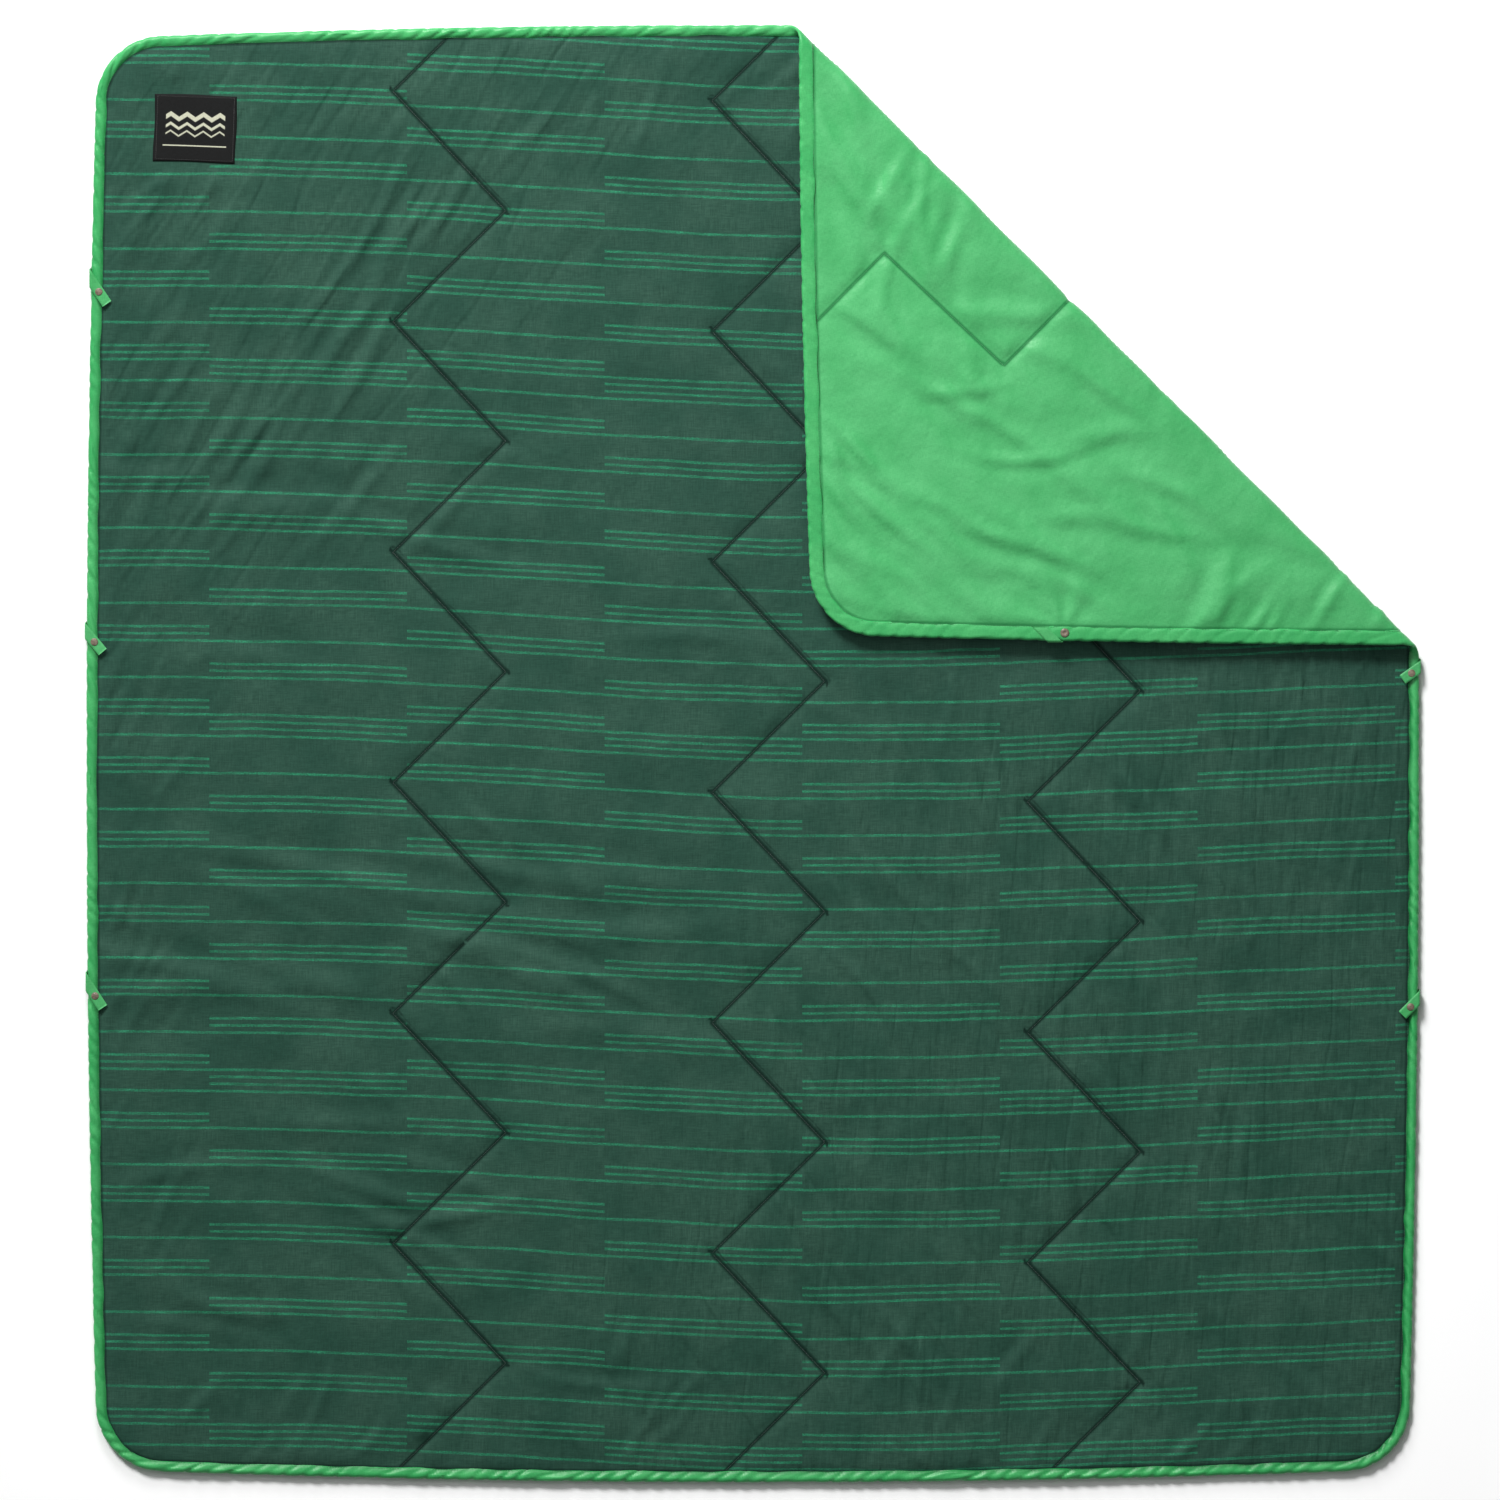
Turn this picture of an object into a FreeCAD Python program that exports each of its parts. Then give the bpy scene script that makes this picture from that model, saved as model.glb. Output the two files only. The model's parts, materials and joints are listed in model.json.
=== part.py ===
import FreeCAD, Part
import math
import os
from FreeCAD import Placement, Rotation, Vector

os.makedirs("parts", exist_ok=True)

# A quilted camp blanket lying face up, with its top right corner folded over the face.
# +Y points to the head edge and +Z up. The origin is under the middle of the blanket, on the ground.
# Positions along the fold use u, across the fold line, and v, along it.

# outline of the open blanket
half_width = 910.0
half_length = 995.0
side_bow = 15.0            # how far the long sides bow outwards between their corners
end_bow = 18.0             # the same for the head and foot edges
corner_radius = 92.0

# layers, from the ground up
loft = 15.0                # thickness of the quilt between its seams
rim_bottom = 4.0
rim_top = 11.0
rim_inset = 3.0            # the quilt ends this far inside the binding
crown_inset = 76.0         # the quilt is full thickness from here inwards
fabric = 0.5

# bound edge
tape = 0.8
tape_round = 2.5           # the binding's outer edge is broken by this much
face_flange = 16.0         # how far the tape reaches in over the face
lining_flange = 20.0       # and in under the lining
binding_bottom = rim_bottom - tape
binding_top = rim_top + tape

# folded corner
fold_start = 731.0         # from the centre to the line where the flat quilt starts to turn up
flap_gap = 7.0             # air between the face and the face of the folded corner
bend_radius = (loft + flap_gap) / 2.0
bend_length = math.pi * bend_radius
fold_axis_u = fold_start + bend_length / 2.0
fold_axis_z = loft + flap_gap / 2.0
corner_start = fold_start + bend_length
bend_half_thickness = (rim_top - rim_bottom) / 2.0

# zigzag quilting: one seam per column, each column a little lower than the one to its left
seam_columns = (-415.0, 21.0, 452.0)
seam_half_width = 77.0
seam_period = 315.0
seam_first_left = 1220.0   # height of the first left-hand corner of the first column
seam_right_drop = 163.0    # right-hand corners lie this far below the left-hand ones
seam_column_drop = 13.0
seam_corners = 8
seam_overrun = 6.0
groove_depth = 5.0
groove_half_bottom = 0.6
groove_half_top = 7.6
groove_margin = 22.0
thread = 0.5

# woven label
label_width = 112.0
label_height = 92.0
label_centre = (-762.0, 854.0)
label_turn = -2.0
label_thickness = 0.8
label_stitch_inset = 3.0

# closing tabs with press studs
strap_width = 14.5
strap_thickness = 1.0
strap_stand_off = 3.5      # the strap passes this far outside the binding
strap_level = 15.0         # underside of the closed strap
strap_clearance = 0.3
snap_inset = 10.0          # press stud centre from the blanket's edge
cap_radius = 5.25
cap_height = 1.4
cap_shank_radius = 1.9
socket_radius = 5.0
socket_hole_radius = 3.5
socket_bottom = 12.9
socket_ceiling = 14.7
stud_flange_radius = 4.5
stud_flange_top = 12.6
stud_head_radius = 2.9
stud_head_top = 14.4
post_disc_radius = 6.0
post_disc_thickness = 1.2
post_shank_radius = 1.4
post_hole_radius = 1.5
post_top = 13.4

# name: side (-1 left, +1 right), height along the side, lean in degrees, free length of strap
tabs = {
    "left_top": (-1, 650.0, 56.0, 43.0),
    "left_middle": (-1, 168.0, 50.0, 38.0),
    "left_bottom": (-1, -311.0, 57.0, 43.0),
    "right_top": (1, 646.0, 45.0, 38.0),
    "right_middle": (1, 119.0, 35.0, 31.0),
    "right_bottom": (1, -333.0, 45.0, 34.0),
}
folded_tab = "right_top"

root_half = math.sqrt(0.5)
across = Vector(root_half, root_half, 0)
along = Vector(root_half, -root_half, 0)

# The four edges are shallow arcs. These are their radii and the centres of the two that
# lie towards +X and +Y; the other two mirror them.
end_radius = ((half_width - side_bow) ** 2 + end_bow ** 2) / (2 * end_bow)
side_radius = ((half_length - end_bow) ** 2 + side_bow ** 2) / (2 * side_bow)
end_centre = Vector(0, half_length - end_radius, 0)
side_centre = Vector(half_width - side_radius, 0, 0)


def corner_centre():
    """Centre of the corner arc that touches both edge arcs, found by a few repeated steps."""
    x = half_width - side_bow - corner_radius
    y = half_length - end_bow - corner_radius
    for _ in range(8):
        x = side_centre.x + math.sqrt((side_radius - corner_radius) ** 2 - y ** 2)
        y = end_centre.y + math.sqrt((end_radius - corner_radius) ** 2 - x ** 2)
    return Vector(x, y, 0)


corner_middle = corner_centre()


def edge_x(y):
    """How far out the long side lies at height y."""
    return side_centre.x + math.sqrt(side_radius ** 2 - y ** 2)


def flat(u, v, z=0.0):
    """A point of the open blanket from its places across and along the fold."""
    return across * u + along * v + Vector(0, 0, z)


def mirrored(point, sign_x, sign_y):
    return Vector(point.x * sign_x, point.y * sign_y, point.z)


def arc(centre, start, end):
    """The shorter arc from start to end."""
    spoke = ((start - centre) + (end - centre)).normalize()
    middle = centre + spoke * (start - centre).Length
    return Part.Arc(start, middle, end).toShape()


def on_head_edge(u, inset):
    """Where the line across the fold at u meets the head edge."""
    radius = end_radius - inset
    return flat(u, end_centre.dot(along) - math.sqrt(radius ** 2 - (u - end_centre.dot(across)) ** 2))


def on_right_edge(u, inset):
    """Where the line across the fold at u meets the right edge."""
    radius = side_radius - inset
    return flat(u, side_centre.dot(along) + math.sqrt(radius ** 2 - (u - side_centre.dot(across)) ** 2))


def corner_touches(inset):
    """The two points where the corner arc meets the head edge and the right edge."""
    to_head = (corner_middle - end_centre).normalize()
    to_side = (corner_middle - side_centre).normalize()
    return end_centre + to_head * (end_radius - inset), side_centre + to_side * (side_radius - inset)


def main_outline(inset, cut, z):
    """Everything on the near side of the line u = cut, as a closed wire at height z."""
    head, side = corner_touches(inset)
    cut_head = on_head_edge(cut, inset)
    cut_side = on_right_edge(cut, inset)
    foot_centre = mirrored(end_centre, 1, -1)
    left_centre = mirrored(side_centre, -1, 1)
    edges = [
        arc(end_centre, cut_head, mirrored(head, -1, 1)),
        arc(mirrored(corner_middle, -1, 1), mirrored(head, -1, 1), mirrored(side, -1, 1)),
        arc(left_centre, mirrored(side, -1, 1), mirrored(side, -1, -1)),
        arc(mirrored(corner_middle, -1, -1), mirrored(side, -1, -1), mirrored(head, -1, -1)),
        arc(foot_centre, mirrored(head, -1, -1), mirrored(head, 1, -1)),
        arc(mirrored(corner_middle, 1, -1), mirrored(head, 1, -1), mirrored(side, 1, -1)),
        arc(side_centre, mirrored(side, 1, -1), cut_side),
        Part.makeLine(cut_side, cut_head),
    ]
    wire = Part.Wire(edges)
    wire.translate(Vector(0, 0, z))
    return wire


def corner_outline(inset, cut, z):
    """Everything beyond the line u = cut, as a closed wire at height z, still lying flat."""
    head, side = corner_touches(inset)
    cut_head = on_head_edge(cut, inset)
    cut_side = on_right_edge(cut, inset)
    edges = [
        arc(end_centre, cut_head, head),
        arc(corner_middle, head, side),
        arc(side_centre, side, cut_side),
        Part.makeLine(cut_side, cut_head),
    ]
    wire = Part.Wire(edges)
    wire.translate(Vector(0, 0, z))
    return wire


def slab(wire, height):
    return Part.Face(wire).extrude(Vector(0, 0, height))


def frustum(lower, upper):
    return Part.makeLoft([lower, upper], True, True)


def quilt_body(outline, cut, inward):
    """A flat rim with a shallow crown above and below it. inward is the sign of u into the region."""
    near = cut + inward * 2.0
    far = cut + inward * crown_inset
    rim = slab(outline(rim_inset, cut, rim_bottom), rim_top - rim_bottom)
    top = frustum(outline(face_flange, near, rim_top), outline(crown_inset, far, loft))
    bottom = frustum(outline(crown_inset, far, 0.0), outline(lining_flange, near, rim_bottom))
    return rim.fuse([top, bottom]).removeSplitter()


def seam_legs():
    """Every straight run of the zigzag seams, as pairs of end points."""
    legs = []
    for column, centre in enumerate(seam_columns):
        left = seam_first_left - column * seam_column_drop
        points = []
        for step in range(seam_corners):
            high = left - step * seam_period
            points.append(Vector(centre - seam_half_width, high, 0))
            points.append(Vector(centre + seam_half_width, high - seam_right_drop, 0))
        legs += list(zip(points[:-1], points[1:]))
    return legs


def run_along(start, end, profile, overrun):
    """Carries a closed profile, given as (sideways, height) points, along a straight run."""
    forward = (end - start).normalize()
    sideways = Vector(-forward.y, forward.x, 0)
    origin = start - forward * overrun
    points = [origin + sideways * s + Vector(0, 0, z) for s, z in profile]
    face = Part.Face(Part.makePolygon(points + [points[0]]))
    return face.extrude(forward * ((end - start).Length + 2 * overrun))


def seam_solids(profile, overrun, region):
    """The profile carried along every seam run that reaches the region, trimmed to it."""
    pieces = []
    for start, end in seam_legs():
        piece = run_along(start, end, profile, overrun).common(region)
        if piece.Volume > 1.0:
            pieces.append(piece)
    return pieces[0].fuse(pieces[1:]) if len(pieces) > 1 else pieces[0]


def grooved(body, outline, cut, inward):
    """Cuts the seam grooves into both sides of a quilt body and returns it with its threads."""
    region = slab(outline(groove_margin, cut + inward * groove_margin, -1.0), loft + 2.0)
    floor = loft - groove_depth
    rise = 0.2
    open_half = groove_half_top + rise
    top_groove = [(-groove_half_bottom, floor), (groove_half_bottom, floor),
                  (open_half, loft + rise), (-open_half, loft + rise)]
    low_groove = [(s, loft - z) for s, z in top_groove]
    half = thread / 2.0
    top_thread = [(-half, floor), (half, floor), (half, floor + thread), (-half, floor + thread)]
    low_thread = [(s, loft - z) for s, z in top_thread]
    cut_body = body.cut(seam_solids(top_groove, seam_overrun, region))
    cut_body = cut_body.cut(seam_solids(low_groove, seam_overrun, region))
    threads = [seam_solids(top_thread, 0.0, region), seam_solids(low_thread, 0.0, region)]
    return cut_body, Part.makeCompound([s for t in threads for s in t.Solids])


def layers(body):
    """Splits a quilt body into its face fabric, insulation and lining."""
    lowered = body.translated(Vector(0, 0, -fabric))
    raised = body.translated(Vector(0, 0, fabric))
    return body.cut(lowered), body.common(lowered).common(raised), body.cut(raised)


def bound_edge(outline, cut, outward):
    """A C-shaped tape round the edge of a region, open along the fold. outward is the sign of u past it."""
    low_break = binding_bottom + tape_round
    high_break = binding_top - tape_round
    outer = slab(outline(0.0, cut, low_break), high_break - low_break)
    outer = outer.fuse([
        frustum(outline(tape_round, cut, binding_bottom), outline(0.0, cut, low_break)),
        frustum(outline(0.0, cut, high_break), outline(tape_round, cut, binding_top)),
    ])
    past = cut + outward
    middle = (rim_bottom + rim_top) / 2.0
    outer = outer.cut(slab(outline(rim_inset, past, rim_bottom), rim_top - rim_bottom))
    outer = outer.cut(slab(outline(face_flange, past, middle), loft))
    return outer.cut(slab(outline(lining_flange, past, -1.0), middle + 1.0)).removeSplitter()


def half_ring(inner, outer, v_low, v_high):
    """Half a tube round the fold, between two radii, running along the fold."""
    def at(radius, degrees):
        angle = math.radians(degrees)
        return flat(fold_start + radius * math.cos(angle), v_low, fold_axis_z + radius * math.sin(angle))

    edges = [
        Part.Arc(at(outer, -90), at(outer, 0), at(outer, 90)).toShape(),
        Part.makeLine(at(outer, 90), at(inner, 90)),
        Part.Arc(at(inner, 90), at(inner, 0), at(inner, -90)).toShape(),
        Part.makeLine(at(inner, -90), at(outer, -90)),
    ]
    return Part.Face(Part.Wire(edges)).extrude(along * (v_high - v_low))


def fold_ends(inset):
    """Places along the fold where it starts and ends, at the flat side and at the corner side."""
    return (
        on_head_edge(fold_start, inset).dot(along), on_head_edge(corner_start, inset).dot(along),
        on_right_edge(fold_start, inset).dot(along), on_right_edge(corner_start, inset).dot(along),
    )


def fold_window(inset):
    """The space the fold may fill: its two ends slant because the edges cross it at 45 degrees."""
    head_low, head_high, side_low, side_high = fold_ends(inset)
    low = fold_axis_z - bend_radius
    high = fold_axis_z + bend_radius
    reach = 10.0

    def stretch(start, end, z):
        return start + (end - start) * (z - low) / (high - low)

    bottom, top = low - reach, high + reach
    corners = [(stretch(head_low, head_high, bottom), bottom), (stretch(side_low, side_high, bottom), bottom),
               (stretch(side_low, side_high, top), top), (stretch(head_low, head_high, top), top)]
    points = [flat(fold_start - reach, v, z) for v, z in corners]
    window = Part.Face(Part.makePolygon(points + [points[0]])).extrude(across * (bend_radius * 3))
    limit = slab(main_outline(inset, corner_start, bottom), top - bottom)
    return window.common(limit)


def bend_layer(inner, outer, inset):
    head_low, _, side_low, _ = fold_ends(0.0)
    return half_ring(inner, outer, head_low - 60.0, side_low + 60.0).common(fold_window(inset))


def bend_bindings():
    """The tape carried round the fold at each end of it, as two solids."""
    inner = bend_radius - bend_half_thickness
    outer = bend_radius + bend_half_thickness
    whole = bend_layer(inner - tape, outer + tape, 0.0)
    core = bend_layer(inner, outer, rim_inset)
    middle = bend_layer(inner - 2 * tape, outer + 2 * tape, face_flange)
    pieces = whole.cut(core).cut(middle).Solids
    return sorted(pieces, key=lambda piece: piece.CenterOfMass.dot(along))


def fold_over(shape):
    """Turns a part of the open corner half a turn about the fold's axis, onto the face."""
    axis_point = flat(fold_axis_u, 0.0, fold_axis_z)
    turned = shape.copy()
    turned.rotate(axis_point, along, 180.0)
    return turned


def prism(points, z_low, z_high):
    corners = [Vector(x, y, z_low) for x, y in points]
    return Part.Face(Part.makePolygon(corners + [corners[0]])).extrude(Vector(0, 0, z_high - z_low))


def disc(centre, radius, z_low, z_high):
    return Part.makeCylinder(radius, z_high - z_low, Vector(centre[0], centre[1], z_low))


def make_label():
    def board(width, height, z_low, z_high):
        box = Part.makeBox(width, height, z_high - z_low, Vector(-width / 2, -height / 2, z_low))
        box.Placement = Placement(Vector(*label_centre, 0), Rotation(Vector(0, 0, 1), label_turn))
        return box

    patch_top = loft + label_thickness
    stitch_outer = board(label_width - 2 * label_stitch_inset, label_height - 2 * label_stitch_inset,
                         patch_top, patch_top + thread)
    stitch_inner = board(label_width - 2 * label_stitch_inset - 2 * thread,
                         label_height - 2 * label_stitch_inset - 2 * thread, patch_top, patch_top + thread)
    return board(label_width, label_height, loft, patch_top), stitch_outer.cut(stitch_inner)


def make_tab(side, height, lean, length):
    """One closing tab: a strap from under the binding, round the edge, to a press stud on the face."""
    slope = math.tan(math.radians(lean))
    inwards = math.cos(math.radians(lean))
    downwards = math.sin(math.radians(lean))
    reach = edge_x(height) + strap_stand_off
    half = strap_width / 2.0
    crease = half / inwards
    hinge_in = strap_thickness / 2.0

    def at(inward, up):
        return side * (reach - inward), height + up

    tail = strap_stand_off + lining_flange
    root_points = [at(0, -crease), at(0, crease), at(tail, crease + tail * slope), at(tail, tail * slope - crease)]
    root = prism(root_points, binding_bottom - strap_thickness, binding_bottom)
    wall_points = [at(0, -crease), at(0, crease), at(strap_thickness, crease), at(strap_thickness, -crease)]
    wall = prism(wall_points, binding_bottom - strap_thickness, strap_level - strap_clearance)
    strap_root = root.fuse(wall).removeSplitter()

    end_in = hinge_in + length * inwards
    end_down = -length * downwards
    flap_points = [
        at(hinge_in, -crease), at(hinge_in, crease),
        at(end_in + half * downwards, end_down + half * inwards),
        at(end_in - half * downwards, end_down - half * inwards),
    ]
    strap_top = strap_level + strap_thickness
    strap_flap = prism(flap_points, strap_level, strap_top)
    knuckle = Part.makeCylinder(hinge_in, 2 * crease,
                                Vector(*at(hinge_in, -crease), strap_level + hinge_in), Vector(0, 1, 0))
    snap_in = strap_stand_off + snap_inset
    snap = at(snap_in, -(snap_in - hinge_in) * slope)
    hole = disc(snap, cap_shank_radius, strap_level, strap_top)
    strap_flap = strap_flap.fuse(knuckle).removeSplitter().cut(hole)

    cap_edge = 0.5
    dome = Part.makeCone(cap_radius, cap_radius - 2.2, cap_height - cap_edge,
                         Vector(*snap, strap_top + cap_edge))
    cap = disc(snap, cap_radius, strap_top, strap_top + cap_edge).fuse(
        [dome, disc(snap, cap_shank_radius, strap_level, strap_top)]).removeSplitter()
    socket = disc(snap, socket_radius, socket_bottom, strap_level).cut(
        disc(snap, socket_hole_radius, socket_bottom, socket_ceiling))
    stud = disc(snap, stud_flange_radius, binding_top, stud_flange_top).fuse(
        disc(snap, stud_head_radius, stud_flange_top, stud_head_top)).removeSplitter()
    stud = stud.cut(disc(snap, post_shank_radius, binding_top, post_top))
    post = disc(snap, post_disc_radius, binding_bottom - post_disc_thickness, binding_bottom).fuse(
        disc(snap, post_shank_radius, binding_bottom, post_top)).removeSplitter()
    parts = {"strap_root": strap_root, "strap_flap": strap_flap, "snap_cap": cap,
             "snap_socket": socket, "snap_stud": stud, "snap_post": post}
    return parts, snap, at(hinge_in, 0)


def build():
    nodes = {}
    post_holes = {True: [], False: []}
    for name, (side, height, lean, length) in tabs.items():
        parts, snap, hinge = make_tab(side, height, lean, length)
        folded = name == folded_tab
        post_holes[folded].append(disc(snap, post_hole_radius, 0.0, loft))
        for part_name, shape in parts.items():
            nodes[part_name + "_" + name] = fold_over(shape) if folded else shape
        hinge_point = Vector(*hinge, strap_level + strap_thickness / 2.0)
        if folded:
            hinge_point = fold_over(Part.Vertex(hinge_point)).Point
        print("hinge of", name, [round(value, 3) for value in hinge_point])

    regions = {"main": (main_outline, fold_start, -1, False), "corner": (corner_outline, corner_start, 1, True)}
    for region, (outline, cut, inward, folded) in regions.items():
        body, threads = grooved(quilt_body(outline, cut, inward), outline, cut, inward)
        body = body.cut(post_holes[folded])
        face, filling, lining = layers(body)
        tape_ring = bound_edge(outline, cut, -inward).cut(post_holes[folded])
        found = {"face_fabric": face, "insulation": filling, "lining": lining,
                 "quilting_thread": threads, "binding": tape_ring}
        for part_name, shape in found.items():
            nodes[part_name + "_" + region] = fold_over(shape) if folded else shape

    inner = bend_radius - bend_half_thickness
    outer = bend_radius + bend_half_thickness
    nodes["face_fabric_fold"] = bend_layer(inner, inner + fabric, rim_inset)
    nodes["insulation_fold"] = bend_layer(inner + fabric, outer - fabric, rim_inset)
    nodes["lining_fold"] = bend_layer(outer - fabric, outer, rim_inset)
    nodes["binding_fold_head"], nodes["binding_fold_side"] = bend_bindings()
    nodes["label"], nodes["label_stitching"] = make_label()
    print("fold axis", [round(value, 3) for value in flat(fold_axis_u, 0.0, fold_axis_z)])
    return nodes


total = 0.0
for node, shape in build().items():
    solids = shape.Solids
    if len(solids) == 1:
        shape = solids[0]
    else:
        shape = Part.makeCompound(solids)
    box = shape.BoundBox
    total += shape.Volume
    print(f"{node:28s} solids {len(solids):3d} valid {shape.isValid()} volume {shape.Volume:12.1f} "
          f"z {box.ZMin:6.2f} to {box.ZMax:6.2f}")
    shape.exportStep("parts/" + node + ".step")
print("litres", round(total / 1e6, 2))
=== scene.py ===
import json
import math

import bpy
import mathutils
import numpy as np
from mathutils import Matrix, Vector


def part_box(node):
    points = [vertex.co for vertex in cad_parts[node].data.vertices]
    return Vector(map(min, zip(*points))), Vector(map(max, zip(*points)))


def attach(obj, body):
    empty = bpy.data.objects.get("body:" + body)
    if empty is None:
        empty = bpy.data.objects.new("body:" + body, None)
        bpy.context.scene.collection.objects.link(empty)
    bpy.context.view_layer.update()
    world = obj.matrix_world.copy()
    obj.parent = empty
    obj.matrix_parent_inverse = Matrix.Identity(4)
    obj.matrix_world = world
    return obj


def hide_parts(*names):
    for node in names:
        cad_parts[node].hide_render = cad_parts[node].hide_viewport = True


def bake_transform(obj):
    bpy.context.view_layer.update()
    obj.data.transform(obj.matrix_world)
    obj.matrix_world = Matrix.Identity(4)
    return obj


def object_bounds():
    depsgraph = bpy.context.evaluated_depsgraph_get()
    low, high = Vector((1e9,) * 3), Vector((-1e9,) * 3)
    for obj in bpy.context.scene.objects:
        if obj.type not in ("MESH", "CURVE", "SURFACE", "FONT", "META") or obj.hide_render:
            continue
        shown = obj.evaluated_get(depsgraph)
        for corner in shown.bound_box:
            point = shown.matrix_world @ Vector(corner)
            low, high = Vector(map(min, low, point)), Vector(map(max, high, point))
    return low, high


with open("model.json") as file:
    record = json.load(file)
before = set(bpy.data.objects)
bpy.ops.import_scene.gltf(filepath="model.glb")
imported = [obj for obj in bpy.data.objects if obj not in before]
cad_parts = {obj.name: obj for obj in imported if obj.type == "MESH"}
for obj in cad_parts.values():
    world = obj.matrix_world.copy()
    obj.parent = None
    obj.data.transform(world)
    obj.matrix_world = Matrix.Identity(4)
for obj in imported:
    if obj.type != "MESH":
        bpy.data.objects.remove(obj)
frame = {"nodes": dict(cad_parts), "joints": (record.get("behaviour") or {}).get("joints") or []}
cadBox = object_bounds()
joints = {joint["name"]: joint for joint in frame["joints"]}
mm = 0.001
rng = np.random.default_rng(7)

# sizes, taken from the frame where it has them

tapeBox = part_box("binding_main")
foldPlace = joints["corner_fold"]["pos_m"]
plan = {
    "halfWidth": (tapeBox[1].x - tapeBox[0].x) / 2,
    "halfLength": (tapeBox[1].y - tapeBox[0].y) / 2,
    "sideBow": 15 * mm,          # the long sides bow out by this much
    "endBow": 18 * mm,
    "cornerRadius": 92 * mm,
    "loft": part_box("face_fabric_main")[1].z,
    "foldAxis": math.hypot(foldPlace[0], foldPlace[1]),   # distance of the fold's axis from the middle
    "foldLevel": foldPlace[2],
}
plan["middle"] = plan["loft"] / 2
plan["foldRadius"] = plan["foldLevel"] - plan["middle"]
plan["foldStart"] = plan["foldAxis"] - math.pi * plan["foldRadius"] / 2
plan["foldEnd"] = plan["foldAxis"] + math.pi * plan["foldRadius"] / 2
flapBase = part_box("face_fabric_corner")[0].z

quilting = {
    "columns": (-0.415, 0.021, 0.452),
    "halfWidth": 77 * mm,
    "period": 315 * mm,
    "firstLeft": 1.220,
    "rightDrop": 163 * mm,
    "columnDrop": 13 * mm,
    "corners": 8,
}

# the blanket's outline: four shallow arcs joined by corner arcs

endRadius = ((plan["halfWidth"] - plan["sideBow"]) ** 2 + plan["endBow"] ** 2) / (2 * plan["endBow"])
sideRadius = ((plan["halfLength"] - plan["endBow"]) ** 2 + plan["sideBow"] ** 2) / (2 * plan["sideBow"])
endCentre = np.array([0.0, plan["halfLength"] - endRadius])
sideCentre = np.array([plan["halfWidth"] - sideRadius, 0.0])


# centre of the arc that touches both edge arcs, by repeated steps
def cornerArcCentre():
    radius = plan["cornerRadius"]
    x, y = plan["halfWidth"] - radius, plan["halfLength"] - radius
    for _ in range(8):
        x = sideCentre[0] + math.sqrt((sideRadius - radius) ** 2 - y ** 2)
        y = endCentre[1] + math.sqrt((endRadius - radius) ** 2 - x ** 2)
    return np.array([x, y])


cornerCentre = cornerArcCentre()
headTouch = (cornerCentre - endCentre) / np.linalg.norm(cornerCentre - endCentre)
sideTouch = (cornerCentre - sideCentre) / np.linalg.norm(cornerCentre - sideCentre)


# how far inside the outline each point lies: the least of its distances to the end arc and the side
# arc, or its distance to the corner arc where it lies between that arc's two touching spokes
def insetOf(x, y):
    place = np.stack([np.abs(x), np.abs(y)], -1)
    toEnd = endRadius - np.linalg.norm(place - endCentre, axis=-1)
    toSide = sideRadius - np.linalg.norm(place - sideCentre, axis=-1)
    spoke = place - cornerCentre
    pastSide = sideTouch[0] * spoke[..., 1] - sideTouch[1] * spoke[..., 0] >= 0
    beforeHead = spoke[..., 0] * headTouch[1] - spoke[..., 1] * headTouch[0] >= 0
    toCorner = plan["cornerRadius"] - np.linalg.norm(spoke, axis=-1)
    return np.where(pastSide & beforeHead, toCorner, np.minimum(toEnd, toSide))


# unit vectors pointing into the blanket, from the slope of insetOf
def inwardOf(x, y):
    reach = 0.2 * mm
    slope = np.stack([insetOf(x + reach, y) - insetOf(x - reach, y),
                      insetOf(x, y + reach) - insetOf(x, y - reach)], -1)
    return slope / np.maximum(np.linalg.norm(slope, axis=-1, keepdims=True), 1e-12)


# points every step along the whole outline, anticlockwise, with their outward directions
def outlinePath(step):
    arcs = []
    sideAngle = math.atan2(sideTouch[1], sideTouch[0])
    headAngle = math.atan2(headTouch[1], headTouch[0])
    for quarter in range(4):
        signX, signY = ((1, 1), (-1, 1), (-1, -1), (1, -1))[quarter]
        corner = (cornerCentre * (signX, signY), plan["cornerRadius"])
        spans = (sideAngle, headAngle) if signX * signY > 0 else (headAngle, sideAngle)
        turned = [math.atan2(math.sin(a) * signY, math.cos(a) * signX) for a in spans]
        arcs.append((*corner, turned[0], turned[1]))
        if quarter % 2 == 0:     # head or foot edge
            arcs.append((endCentre * (1, signY), endRadius, turned[1], math.pi * signY - turned[1]))
        else:                    # left or right edge
            arcs.append((sideCentre * (signX, 1), sideRadius, turned[1], -turned[1]))
    places, outs = [], []
    for centre, radius, start, end in arcs:
        turn = (end - start) % (2 * math.pi)
        count = max(2, round(radius * turn / step))
        angle = start + turn * np.arange(count) / count
        out = np.stack([np.cos(angle), np.sin(angle)], -1)
        places.append(centre + radius * out)
        outs.append(out)
    return np.concatenate(places), np.concatenate(outs)


# quilting seams

def seamRuns():
    runs = []
    for column, centre in enumerate(quilting["columns"]):
        left = quilting["firstLeft"] - column * quilting["columnDrop"]
        points = []
        for row in range(quilting["corners"]):
            high = left - row * quilting["period"]
            points.append((centre - quilting["halfWidth"], high))
            points.append((centre + quilting["halfWidth"], high - quilting["rightDrop"]))
        runs += list(zip(points[:-1], points[1:]))
    return [(np.array(a), np.array(b)) for a, b in runs]


seams = seamRuns()


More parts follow.
